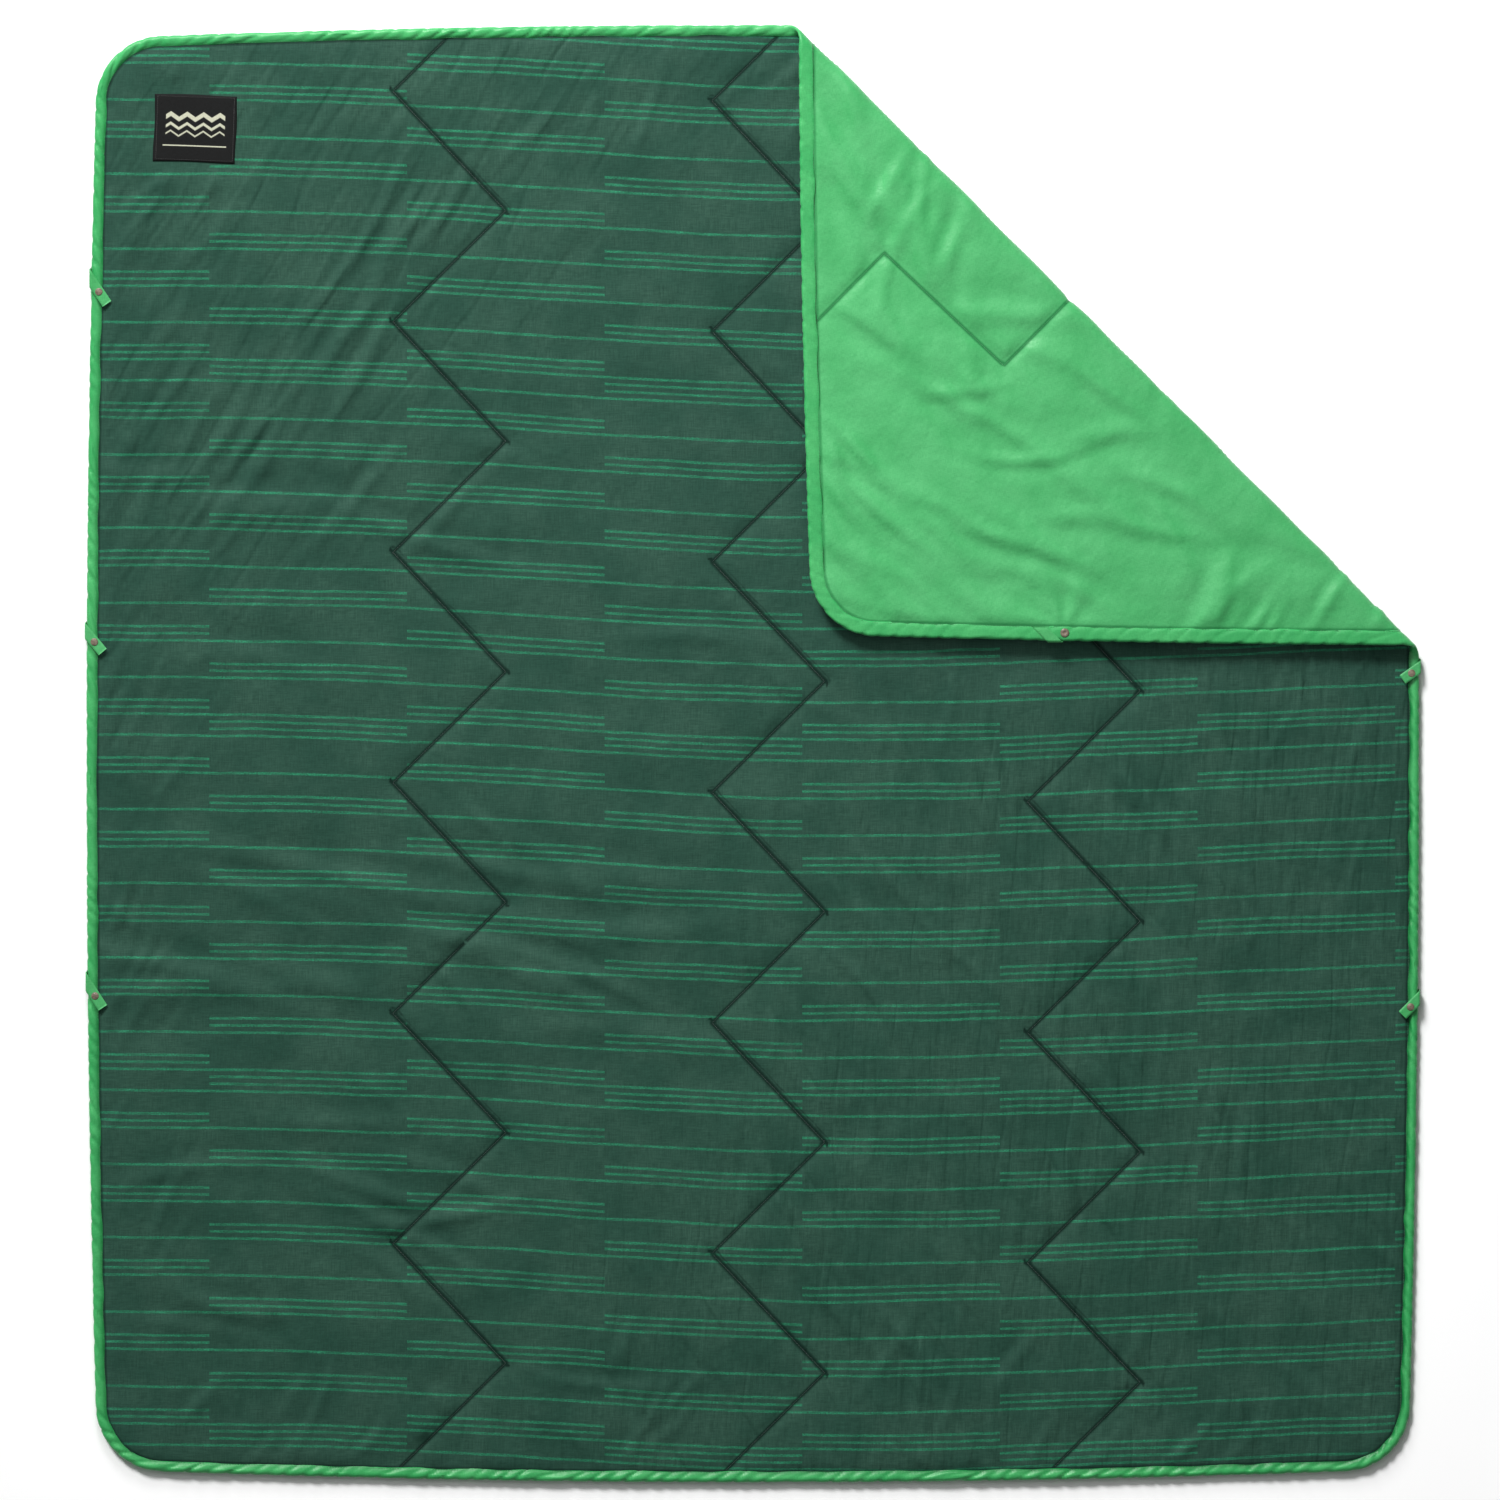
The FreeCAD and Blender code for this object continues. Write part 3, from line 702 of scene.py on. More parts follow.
# Blender's cloth, held firmly along seams and edge and softly elsewhere, with a rest shape that is a
# little larger than the held one, so that the slack turns into wrinkles
def crumple(name, x, y, height, faces, restX, restY):
    cloth = makeMesh(name, np.stack([x, y, height], -1), faces, [])
    cloth.shape_key_add(name="Basis")
    rest = cloth.shape_key_add(name="rest")
    rest.data.foreach_set("co", np.stack([restX, restY, height], -1).ravel())
    rest.value = 0.0
    hold = cloth.vertex_groups.new(name="hold")
    hold.add(np.nonzero(firmlyHeld)[0].tolist(), 1.0, "REPLACE")
    hold.add(np.nonzero(~firmlyHeld)[0].tolist(), cloths["softHold"], "REPLACE")
    sim = cloth.modifiers.new("cloth", "CLOTH")
    sim.settings.quality = 3
    sim.settings.mass = 0.1
    sim.settings.tension_stiffness = 20
    sim.settings.compression_stiffness = 20
    sim.settings.shear_stiffness = 8
    sim.settings.bending_stiffness = 0.04
    sim.settings.vertex_group_mass = "hold"
    sim.settings.pin_stiffness = 1.0
    sim.settings.rest_shape_key = rest
    sim.settings.use_pressure = True
    sim.settings.uniform_pressure_force = cloths["pressure"]
    sim.settings.effector_weights.gravity = 0
    sim.collision_settings.use_collision = False
    scene, frames = bpy.context.scene, cloths["frames"]
    scene.frame_start, scene.frame_end = 1, frames
    sim.point_cache.frame_start, sim.point_cache.frame_end = 1, frames
    for step in range(1, frames + 1):
        scene.frame_set(step)
    settled = cloth.evaluated_get(bpy.context.evaluated_depsgraph_get())
    out = np.empty(len(x) * 3, np.float32)
    settled.data.vertices.foreach_get("co", out)
    out = out.reshape(-1, 3).astype(float)
    print(name, "moved up and down by", round(float(np.std(out[:, 2] - height)) * 1000, 2), "mm")
    bpy.data.objects.remove(cloth)
    scene.frame_set(1)
    return out[:, 0], out[:, 1], out[:, 2]


waddingShare = 0.20              # share of the puff's half height that the wadding reaches

# tabs: where each strap leaves the edge, and where its press stud sits

tabs = {                         # side, place along the side, lean in degrees, free length
    "left_top": (-1, 0.650, 56, 0.043),
    "left_middle": (-1, 0.168, 50, 0.038),
    "left_bottom": (-1, -0.311, 57, 0.043),
    "right_top": (1, 0.646, 45, 0.038),
    "right_middle": (1, 0.119, 35, 0.031),
    "right_bottom": (1, -0.333, 45, 0.034),
}
strap = {
    "width": 14.5 * mm, "thickness": 1.0 * mm, "standOff": 3.5 * mm, "tail": 22.5 * mm, "under": 2.7 * mm,
    "level": plan["loft"] + 0.5 * mm, "snapInset": 10 * mm,
}


# the strap's outer face on the side's arc, its lean, and the press stud's centre, all on the open blanket
def tabPlace(name):
    side, height, lean, length = tabs[name]
    lean = math.radians(lean)
    reach = sideCentre[0] + math.sqrt(sideRadius ** 2 - height ** 2) + strap["standOff"]
    snapIn = strap["standOff"] + strap["snapInset"]
    drop = (snapIn - strap["thickness"] / 2) * math.tan(lean)
    return reach, lean, np.array([side * (reach - snapIn), height - drop])


print("quilt grid")
gridX, gridY, gridSeam, gridQuads = quiltGrid(cloths["step"])
puff = puffOf(gridX, gridY)
gridInset = insetOf(gridX, gridY)
firmlyHeld = gridSeam | (gridInset < 15 * mm)
slack = 1 + cloths["excess"]
leftPull = 3.0 * mm * np.exp(-(gridX + plan["halfWidth"]) / (90 * mm))

faceZones = (                    # centre, half size, direction and spread, length and width, height, number
    ((-0.62, 0.62), (0.24, 0.30), (57, 10), (0.100, 8 * mm), 2.4 * mm, 20),
    ((-0.80, 0.60), (0.10, 0.32), (62, 9), (0.055, 6 * mm), 1.6 * mm, 26),
    ((-0.84, 0.00), (0.06, 0.75), (66, 12), (0.050, 6 * mm), 1.5 * mm, 34),
    ((-0.45, 0.05), (0.40, 0.45), (-14, 16), (0.130, 15 * mm), 2.6 * mm, 14),
    ((-0.55, -0.55), (0.35, 0.40), (-30, 40), (0.090, 11 * mm), 1.9 * mm, 24),
    ((0.42, -0.42), (0.42, 0.50), (-60, 13), (0.090, 8 * mm), 2.3 * mm, 40),
    ((0.30, -0.25), (0.34, 0.40), (88, 8), (0.065, 6 * mm), 1.1 * mm, 46),
    ((0.00, 0.20), (0.45, 0.55), (-48, 30), (0.085, 10 * mm), 1.4 * mm, 26),
    ((0.75, 0.00), (0.12, 0.55), (80, 18), (0.050, 6.5 * mm), 1.4 * mm, 24),
    ((0.00, -0.88), (0.80, 0.08), (70, 30), (0.050, 7 * mm), 1.4 * mm, 30),
    ((-0.10, 0.90), (0.40, 0.06), (64, 20), (0.045, 7 * mm), 1.6 * mm, 16),
)
# the lining is creased where it shows, on the folded corner, and more evenly underneath
liningZones = (
    ((0.49, 0.91), (0.02, 0.02), (50, 5), (0.060, 9 * mm), 0.0, 1),     # smoothed out
    ((0.80, 0.86), (0.12, 0.05), (-48, 10), (0.085, 12 * mm), 3.0 * mm, 10),
    ((0.30, 0.87), (0.16, 0.07), (-30, 25), (0.10, 17 * mm), 2.4 * mm, 7),
    ((0.87, 0.20), (0.04, 0.24), (28, 14), (0.055, 9 * mm), 2.6 * mm, 16),
    ((0.62, 0.92), (0.18, 0.04), (-42, 14), (0.045, 9 * mm), 2.2 * mm, 12),
    ((0.62, 0.62), (0.22, 0.20), (-62, 40), (0.075, 11 * mm), 1.9 * mm, 26),
    ((0.45, 0.80), (0.20, 0.10), (0, 40), (0.070, 10 * mm), 1.7 * mm, 14),
    ((0.00, -0.10), (0.85, 0.80), (0, 90), (0.090, 12 * mm), 1.8 * mm, 120),
)


# folds that run out of one pinched point, such as a rivet: ridges between evenly turned spokes,
# rising over the first part of their length and dying away after it
def radiating(x, y, place, count, length, height, seed):
    draw = np.random.default_rng(seed)
    fromX, fromY = x - place[0], y - place[1]
    distance = np.hypot(fromX, fromY)
    angle = np.arctan2(fromY, fromX)
    lag = draw.uniform(0, 6.28)
    spoke = np.cos(count * angle + lag + 0.8 * np.sin(2 * angle + lag))
    uneven = 0.65 + 0.35 * np.cos(2 * angle + 1.3 + lag)
    rise = np.minimum(distance / (28 * mm), 1) ** 1.2
    return height * uneven * spoke * rise * np.exp(-(distance / length) ** 2)


def rivetPlaces():
    return [tabPlace(name)[2] for name in tabs]


# the label's patch, and places on it from -0.5 to 0.5
patch = {"centre": (-762 * mm, 854 * mm), "size": (112 * mm, 92 * mm), "turn": -2.0}


def patchPlace(x, y):
    turn = math.radians(patch["turn"])
    fromX, fromY = x - patch["centre"][0], y - patch["centre"][1]
    return (fromX * math.cos(turn) + fromY * math.sin(turn)) / patch["size"][0], (
        fromY * math.cos(turn) - fromX * math.sin(turn)) / patch["size"][1]


print("face cloth")
patchX, patchY = patchPlace(gridX, gridY)
underPatch = np.clip(1.25 - 4 * (np.maximum(np.abs(patchX), np.abs(patchY)) - 0.5), 0, 1)
faceHeight = plan["middle"] + plan["middle"] * cloths["crest"] * puff
faceX, faceY, faceZ = crumple("face_wrinkles", gridX, gridY, faceHeight, gridQuads,
                              gridX * slack, gridY * slack + leftPull)
faceRoll = rolling(gridX, gridY, 0.15, 60, 60, seed=3) * 0.9 * mm
faceRoll = faceRoll + rolling(gridX, gridY, 0.07, 110, 70, seed=4) * 0.45 * mm
faceExtra = faceRoll + cloths["creasing"] * creases(gridX, gridY, faceZones, 21)
faceExtra = faceExtra - seamTails(gridX, gridY, 0.080, 2.6 * mm, 7.0 * mm, 31)
faceZ = faceZ + faceExtra * np.clip(puff * 1.5, 0, 1) * (1 - underPatch)
flatUnder = plan["middle"] + plan["middle"] * 0.66 * np.minimum(puff, 0.85)
faceZ = faceZ * (1 - underPatch) + flatUnder * underPatch
fromMiddle = np.maximum(cloths["apart"], plan["middle"] * (waddingShare + 0.04) * puff)    # clear of the wadding
faceZ = np.clip(faceZ, plan["middle"] + fromMiddle, plan["loft"] + cloths["headroom"])
faceZ = np.minimum(faceZ, cloths["faceUnderTape"] + np.maximum(gridInset - 11 * mm, 0) * 0.30)
flatPlaces = np.stack([gridX, gridY, np.zeros_like(gridX)], -1)
face = makeMesh("face_cloth", foldOver(faceX, faceY, faceZ), gridQuads, [faceCloth], flatPlaces)
seamGap, leanGap = seamDistances(gridX, gridY)


def setGaps(piece, flange):
    for label, values in (("seamGap", seamGap), ("leanGap", leanGap), ("edgeGap", gridInset - flange)):
        piece.data.attributes.new(label, "FLOAT", "POINT").data.foreach_set("value", values.astype(np.float32))


setGaps(face, 14.0 * mm)

print("lining")
liningHeight = plan["middle"] - plan["middle"] * cloths["crest"] * puff
turnedQuads = gridQuads[:, [0, 3, 2, 1]]
liningX, liningY, liningZ = crumple("lining_wrinkles", gridX, gridY, liningHeight, turnedQuads,
                                    gridX * slack, gridY * slack + 0.5 * leftPull)
liningExtra = rolling(gridX, gridY, 0.14, 20, 70, seed=5) * 1.6 * mm
liningExtra = liningExtra + cloths["creasing"] * creases(gridX, gridY, liningZones, 23)
for tabIndex, place in enumerate(rivetPlaces()):
    liningExtra += radiating(gridX, gridY, place, 7, 95 * mm, 3.6 * mm, 50 + tabIndex)
liningZ = liningZ - liningExtra * np.clip(puff * 1.5, 0, 1)
onFlap = np.clip(((gridX + gridY) / math.sqrt(2) - plan["foldAxis"]) / (20 * mm), 0, 1)
liningZ = np.clip(liningZ, -cloths["headroom"] * onFlap, plan["middle"] - fromMiddle)
liningZ = np.maximum(liningZ, cloths["liningUnderTape"] - np.maximum(gridInset - 15 * mm, 0) * 0.35)
lining = makeMesh("lining", foldOver(liningX, liningY, liningZ), turnedQuads, [liningCloth], flatPlaces)
setGaps(lining, 19.5 * mm)

# wadding: two coarse closed pads between the cloths, one on each side of the fold

print("wadding")
pads = {
    "step": 12 * mm,
    "rim": 11 * mm,              # the pads end this far inside the binding's outer edge
    "thin": 0.3 * mm,            # half thickness along a pad's own edges
    "foldGap": 5 * mm,           # the pads end this far before the fold's arc,
    "foldThin": 0.75,            # and thin out by this share towards its axis
    "foldWidth": 30 * mm,
    "seamBack": 15 * mm,         # the seams' dips are this much wider in the pads than in the cloths
}


# One pad: a grid over the blanket, kept where it lies on the pad's side of the fold (-1 for the main
# part, 1 for the corner), with the points past the pad's limit moved straight onto it. Its half
# thickness is the half loft times a share of the puff, times 1 less foldThin exp(-(distance to the
# fold's axis / foldWidth) squared).
def makePad(name, side):
    rows = int(2 * plan["halfLength"] / pads["step"])
    columns = int(2 * plan["halfWidth"] / pads["step"])
    s, t = np.meshgrid(np.linspace(-1, 1, columns), np.linspace(-1, 1, rows))
    x = s.ravel() * (plan["halfWidth"] - 8 * mm)
    y = t.ravel() * (plan["halfLength"] - 8 * mm)
    limit = plan["foldStart"] - pads["foldGap"] if side < 0 else plan["foldEnd"] + pads["foldGap"]
    inward = inwardOf(x * 0.999, y * 0.999)
    short = np.maximum(pads["rim"] - insetOf(x, y), 0)
    x, y = x + inward[:, 0] * short, y + inward[:, 1] * short
    past = side * (limit - (x + y) / math.sqrt(2))
    quads = gridFaces(rows, columns)
    quads = quads[(past[quads] < 0).any(1)]
    used = np.zeros(x.size, bool)
    used[quads.ravel()] = True
    quads = (np.cumsum(used) - 1)[quads]
    shift = side * np.maximum(past, 0) / math.sqrt(2)
    x, y, past = (x + shift)[used], (y + shift)[used], past[used]
    half = plan["middle"] * waddingShare * np.maximum(puffOf(x, y, pads["seamBack"]) - 0.06, 0.10)
    half = np.minimum(half, pads["thin"] + np.maximum(insetOf(x, y) - 16 * mm, 0) * 0.2)
    toAxis = (x + y) / math.sqrt(2) - plan["foldAxis"]
    half = half * (1 - pads["foldThin"] * np.exp(-(toAxis / pads["foldWidth"]) ** 2))
    half = np.where(past >= 0, pads["thin"], np.maximum(half, pads["thin"]))
    points = np.concatenate([foldOver(x, y, plan["middle"] + half), foldOver(x, y, plan["middle"] - half)])
    return makeMesh(name, points, closedFaces(quads, x.size), [waddingCloth])


wadding = makePad("wadding", -1)
cornerWadding = makePad("wadding_corner", 1)

# binding: a C-shaped tape carried round the outline

print("binding")
binding = {
    "step": 3.6 * mm,
    "faceFlange": 14.5 * mm,
    "liningFlange": 19.5 * mm,
    "halfHeight": 4.0 * mm,
    "thickness": 0.9 * mm,
    "twist": 2.6 * mm,           # height of the slanting wrinkles
    "slant": 12.0,               # how far a wrinkle runs along the tape while it crosses it
    "wrinkle": 25 * mm,          # length of tape to each wrinkle, before they drift
    "scallop": 2.5 * mm,         # how far the cloth crowds over the right side's tape,
    "scallopPitch": 58 * mm,     # and how often
    "bulge": 5.0 * mm,           # the rim's half ellipse reaches this far in
    "lowest": 3.25 * mm,         # the tape stays between these heights, clear of straps and studs
    "highest": 13.6 * mm,
    "faceDrop": 0.62,            # slope down to the tape's inner edges, as a share of its half height
    "liningDrop": 0.30,
}


# Section points for one place along the edge: the outer line runs from the face flange's edge, over
# the rounded rim (a half ellipse), and back along the lining side. The inner line follows it, one
# thickness in. Wrinkles push the outer line out by waves that lean along the edge.
def makeBinding():
    places, outs = outlinePath(binding["step"])
    count = len(places)
    gaps = np.linalg.norm(np.roll(places, -1, 0) - places, axis=1)
    along = np.concatenate([[0], np.cumsum(gaps)[:-1]])
    total = gaps.sum()
    bulge = binding["bulge"]
    flangeIn = np.linspace(0, 1, 8)[:-1]
    rimAngle = np.linspace(0, math.pi, 9)
    flangeOut = np.linspace(0, 1, 8)[1:]
    outerIn = np.concatenate([bulge + (binding["faceFlange"] - bulge) * (1 - flangeIn),
                              bulge * (1 - np.sin(rimAngle)),
                              bulge + (binding["liningFlange"] - bulge) * flangeOut])
    outerUp = np.concatenate([1 - binding["faceDrop"] * (1 - flangeIn) ** 1.4, np.cos(rimAngle),
                              -1 + binding["liningDrop"] * flangeOut ** 1.6])
    sectionPlace = np.linspace(0, 1, len(outerIn))
    sides = len(outerIn)
    # wrinkles: ridges that cross the tape aslant, spaced unevenly along it
    phase = 2 * math.pi * along / total
    drift = sum(draw * np.sin(k * phase + lag) for k, draw, lag in
                zip((3, 7, 13, 29, 41, 67), (3.0, 2.2, 1.6, 1.2, 0.9, 0.6), rng.uniform(0, 6.28, 6)))
    wave = (round(total / binding["wrinkle"]) * phase + drift * 1.6)[:, None]
    wave = wave + binding["slant"] * sectionPlace[None, :]
    swell = 0.6 + 0.4 * np.sin(19 * phase + 1.0) * np.sin(31 * phase)
    trough = 0.5 + 0.5 * np.cos(wave)
    crest = 1 - trough ** 3
    second = 0.5 + 0.5 * np.cos(1.63 * wave + 2.0)
    lift = binding["twist"] * swell[:, None] * (crest - 0.35 * second ** 3)
    fadeOut = np.clip(np.minimum(sectionPlace, 1 - sectionPlace) * 7, 0, 1)
    lift = lift * fadeOut[None, :]
    wobble = 0.8 * mm * np.sin(43 * phase + drift) + 0.5 * mm * np.sin(101 * phase)
    # on the side that faces it, the cloth crowds over the tape in scallops
    onRight = np.clip(places[:, 0] / 0.9, 0, 1) ** 8
    scallop = (0.5 + 0.5 * np.sin(2 * math.pi * along / binding["scallopPitch"] + drift)) * onRight
    crowded = np.zeros(sides)
    crowded[:5] = 1 - flangeIn[:5]
    halfHeight = binding["halfHeight"]
    outer = np.zeros((count, sides, 2))
    outer[..., 0] = outerIn[None, :] + np.where(outerIn > bulge, 1.0, 0.0)[None, :] * wobble[:, None]
    outer[..., 0] -= scallop[:, None] * crowded[None, :] * binding["scallop"]
    outer[..., 1] = plan["middle"] + outerUp[None, :] * halfHeight
    lean = np.gradient(outerIn), np.gradient(outerUp * halfHeight)
    size = np.hypot(*lean)
    outIn, outUp = -lean[1] / size, lean[0] / size
    if outUp[2] < 0:
        outIn, outUp = -outIn, -outUp
    outer[..., 0] += outIn[None, :] * np.minimum(lift, 1.0 * mm)
    outer[..., 1] += outUp[None, :] * lift
    outer[..., 1] = np.clip(outer[..., 1], binding["lowest"], binding["highest"])
    inner = outer.copy()
    inner[..., 0] -= outIn[None, :] * binding["thickness"]
    inner[..., 1] -= outUp[None, :] * binding["thickness"]
    section = np.concatenate([outer, inner[:, ::-1]], 1)
    x = places[:, None, 0] - outs[:, None, 0] * section[..., 0]
    y = places[:, None, 1] - outs[:, None, 1] * section[..., 0]
    flat = np.stack([x, y, section[..., 1]], -1)
    points = foldOver(x, y, section[..., 1])
    faces = gridFaces(count, section.shape[1], True, True)
    piece = makeMesh("binding", points, faces, [bindingTape], flat)
    share = np.tile(np.concatenate([sectionPlace, sectionPlace[::-1]]), count).astype(np.float32)
    piece.data.attributes.new("tapeSide", "FLOAT", "POINT").data.foreach_set("value", share)
    return piece


tape = makeBinding()

# stitches: short thread tubes, laid end to end with small gaps


# One stitch is a bent tube: its line dips at both ends by dip, its section is a square turned on edge.
def makeStitches(name, starts, ends, heights, sides, radius, dip, material):
    count = len(starts)
    s = np.array([0.0, 0.18, 0.82, 1.0])
    drop = np.array([1.0, 0.0, 0.0, 1.0])
    girth = np.array([0.55, 1.0, 1.0, 0.55])
    ahead = (ends - starts) / np.linalg.norm(ends - starts, axis=1, keepdims=True)
    side = np.stack([-ahead[:, 1], ahead[:, 0]], -1)
    turn = np.arange(4) * math.pi / 2
    line = starts[:, None] + (ends - starts)[:, None] * s[None, :, None]
    level = heights[:, None] - sides[:, None] * dip * drop[None, :]
    wide = girth[None, :, None] * radius * np.cos(turn)
    high = girth[None, :, None] * radius * np.sin(turn)
    x = line[:, :, None, 0] + side[:, None, None, 0] * wide
    y = line[:, :, None, 1] + side[:, None, None, 1] * wide
    z = level[:, :, None] + high
    points = foldOver(x, y, np.broadcast_to(z, x.shape))
    tube = gridFaces(4, 4, False, True)
    caps = np.array([[0, 1, 2, 3], [15, 14, 13, 12]])
    faces = (np.concatenate([tube[:, ::-1], caps])[None] + 16 * np.arange(count)[:, None, None]).reshape(-1, 4)
    return makeMesh(name, points, faces, [material])


# heights of a cloth near given places, from its nearest grid points
def levelAt(places, gridZ):
    tree = mathutils.kdtree.KDTree(len(gridX))
    for index in np.nonzero(gridSeam | (gridInset < 30 * mm))[0]:
        tree.insert((gridX[index], gridY[index], 0.0), int(index))
    tree.balance()
    return np.array([gridZ[tree.find((p[0], p[1], 0.0))[1]] for p in places])


print("stitches")
stitch = {
    "pitch": 3.7 * mm, "gap": 0.12 * mm, "radius": 0.24 * mm, "dip": 0.15 * mm,
    "faceLevel": 9.9 * mm,       # heights of the rows along the binding
    "liningLevel": 4.35 * mm,
}


def seamStitches(name, gridZ, side, material):
    starts, ends = [], []
    for a, b in seams:
        span = b - a
        length = np.linalg.norm(span)
        number = int(length / stitch["pitch"])
        t = np.arange(number)[:, None] / number
        starts.append(a + span * t)
        ends.append(a + span * (t + (stitch["pitch"] - stitch["gap"]) / length))
    starts, ends = np.concatenate(starts), np.concatenate(ends)
    inside = insetOf(starts[:, 0], starts[:, 1]) > 17 * mm
    starts, ends = starts[inside], ends[inside]
    levels = levelAt((starts + ends) / 2, gridZ) + side * stitch["radius"] * 0.6
    return makeStitches(name, starts, ends, levels, np.full(len(starts), side), stitch["radius"], stitch["dip"],
                        material)


faceStitches = seamStitches("quilting_thread_face", faceZ, 1.0, quiltThread)
liningStitches = seamStitches("quilting_thread_lining", liningZ, -1.0, liningThread)

# straps

print("straps")


# A flat ribbon as a closed grid: rows go along its middle line, columns round its section, which is a
# thin rectangle with soft edges. The middle line runs under the binding, up round the edge and back
# over it, leaning down the blanket on top and up it underneath, to a hem with a square end.
def makeStrap(name):
    side, height, lean, length = tabs[name]
    reach, lean, _ = tabPlace(name)
    half, thick = strap["width"] / 2, strap["thickness"] / 2
    crease = half / math.cos(lean)
    draw = np.random.default_rng(len(name) + int(abs(height) * 1000))
    tailIn = np.linspace(strap["tail"], 1.2 * mm, 8)
    tailUp = strap["under"] + np.array([1.6, 0.5, 0, 0, 0, 0, 0, 0]) * mm
    wall = np.linspace(0, 1, 9)
    top = strap["level"]
    wallIn = thick + 1.1 * mm * (1 - np.sin(math.pi * wall) ** 0.5)
    wallUp = strap["under"] + 0.4 * mm + (top - strap["under"] - 0.6 * mm) * wall
    run = np.linspace(0.05, 1, 18)
    flapIn = thick + length * math.cos(lean) * run
    curl = 0.5 * mm * run ** 3 + 0.5 * mm * np.exp(-((run - 0.12) / 0.12) ** 2)
    curl = curl + 0.25 * mm * np.sin(9 * run + draw.uniform(0, 6))
    flapUp = top + np.maximum(curl, 0) * 0.9
    inward = np.concatenate([tailIn, wallIn, flapIn])
    up = np.concatenate([tailUp, wallUp, flapUp])
    count = len(inward)
    t = np.array([-1, -0.97, -0.6, 0, 0.6, 0.97, 1, 0.97, 0.6, 0, -0.6, -0.97])
    skin = np.array([0, 1, 1, 1, 1, 1, 0, -1, -1, -1, -1, -1]) * 1.0
    skin[[1, 5, 7, 11]] *= 0.75
    slopeIn, slopeUp = np.gradient(inward), np.gradient(up)
    slope = np.hypot(slopeIn, slopeUp)
    outIn, outUp = slopeUp / slope, -slopeIn / slope
    onTail = np.concatenate([np.ones(8), np.zeros(count - 8)])
    onFlap = np.concatenate([np.zeros(17), run])
    tailDrop = (inward - thick) * math.tan(lean) * onTail
    along = tailDrop[:, None] + crease * t[None, :]
    endAlong = -length * math.sin(lean) + half * math.cos(lean) * t
    endIn = half * math.sin(lean) * t
    onTop = np.concatenate([np.zeros(17, bool), np.ones(18, bool)])
    topAlong = crease * t[None, :] * (1 - onFlap[:, None]) + endAlong[None, :] * onFlap[:, None]
    along = np.where(onTop[:, None], topAlong, along)
    hem = np.concatenate([np.ones(count - 5), [1.0, 1.35, 1.35, 1.35, 0.9]])
    acrossIn = inward[:, None] + np.where(onTop[:, None], endIn[None, :] * onFlap[:, None], 0.0)
    bodyIn = acrossIn - outIn[:, None] * skin[None, :] * thick * hem[:, None]
    bodyUp = up[:, None] - outUp[:, None] * skin[None, :] * thick * hem[:, None]
    cup = 0.25 * mm * (t ** 2 - 0.4)
    bodyUp = bodyUp + np.where(onTop[:, None], cup[None, :], 0.0)
    x = side * (reach - bodyIn)
    y = height + along
    points = foldOver(x, y, bodyUp)
    faces = gridFaces(count, len(t), False, True)
    last = (count - 1) * len(t)
    caps = np.array([[11, 10, 2, 1], [10, 9, 3, 2], [9, 8, 4, 3], [8, 7, 5, 4]])
    ends = np.concatenate([caps[:, ::-1], caps + last])
    faces = np.concatenate([faces, ends])
    if side > 0:
        faces = faces[:, ::-1]
    points = points.reshape(-1, 3)
    piece = makeMesh("strap_" + name, points, faces, [strapCloth])
    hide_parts("strap_root_" + name, "strap_flap_" + name)
    return piece


# press studs: turned shapes, a profile of radius and height carried round its axis

capProfile = np.array([(0, 17.45), (1.6, 17.42), (3.0, 17.28), (3.5, 17.05), (3.9, 17.12),
                       (4.6, 16.85), (5.1, 16.4), (5.25, 16.05), (5.0, 15.8), (2.4, 15.7)]) * mm
postProfile = np.array([(0, 2.15), (2.2, 2.1), (2.7, 1.75), (3.4, 1.72), (4.6, 1.85), (5.6, 2.2),
                        (6.0, 2.6), (5.8, 3.1), (2.0, 3.2)]) * mm


def makeTurned(name, profile, place, faceDown, replaced):
    sides = 40
    angle = 2 * math.pi * np.arange(sides) / sides
    x = place[0] + profile[:, None, 0] * np.cos(angle)[None, :]
    y = place[1] + profile[:, None, 0] * np.sin(angle)[None, :]
    z = np.broadcast_to(profile[:, None, 1], x.shape)
    faces = gridFaces(len(profile), sides, False, True)
    piece = makeMesh(name, foldOver(x, y, z), faces if faceDown else faces[:, ::-1], [pressStud])
    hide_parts(replaced)
    return piece


tabPieces = {}
for name in tabs:
    snapPlace = tabPlace(name)[2]
    tabPieces[name] = (
        makeStrap(name),
        makeTurned("snap_cap_" + name + "_dome", capProfile, snapPlace, False, "snap_cap_" + name),
        makeTurned("snap_post_" + name + "_disc", postProfile, snapPlace, True, "snap_post_" + name),
    )
    for part in ("snap_socket_", "snap_stud_"):
        for own in frame["nodes"][part + name].material_slots:
            own.material = pressStud

# label: a thin closed patch that follows the face below it

print("label")


# heights of the face under the label: its grid, read back at any place and smoothed
def faceLevelAt(x, y):
    near = (np.abs(gridX - patch["centre"][0]) < 0.12) & (np.abs(gridY - patch["centre"][1]) < 0.11)
    nearX, nearY, nearZ = gridX[near], gridY[near], faceZ[near]
    gap = (x.ravel()[:, None] - nearX) ** 2 + (y.ravel()[:, None] - nearY) ** 2
    weight = np.exp(-gap / (7 * mm) ** 2)
    return ((weight @ nearZ) / weight.sum(1)).reshape(x.shape)


def patchWorld(s, t):
    turn = math.radians(patch["turn"])
    x, y = s * patch["size"][0], t * patch["size"][1]
    return (patch["centre"][0] + x * math.cos(turn) - y * math.sin(turn),
            patch["centre"][1] + x * math.sin(turn) + y * math.cos(turn))


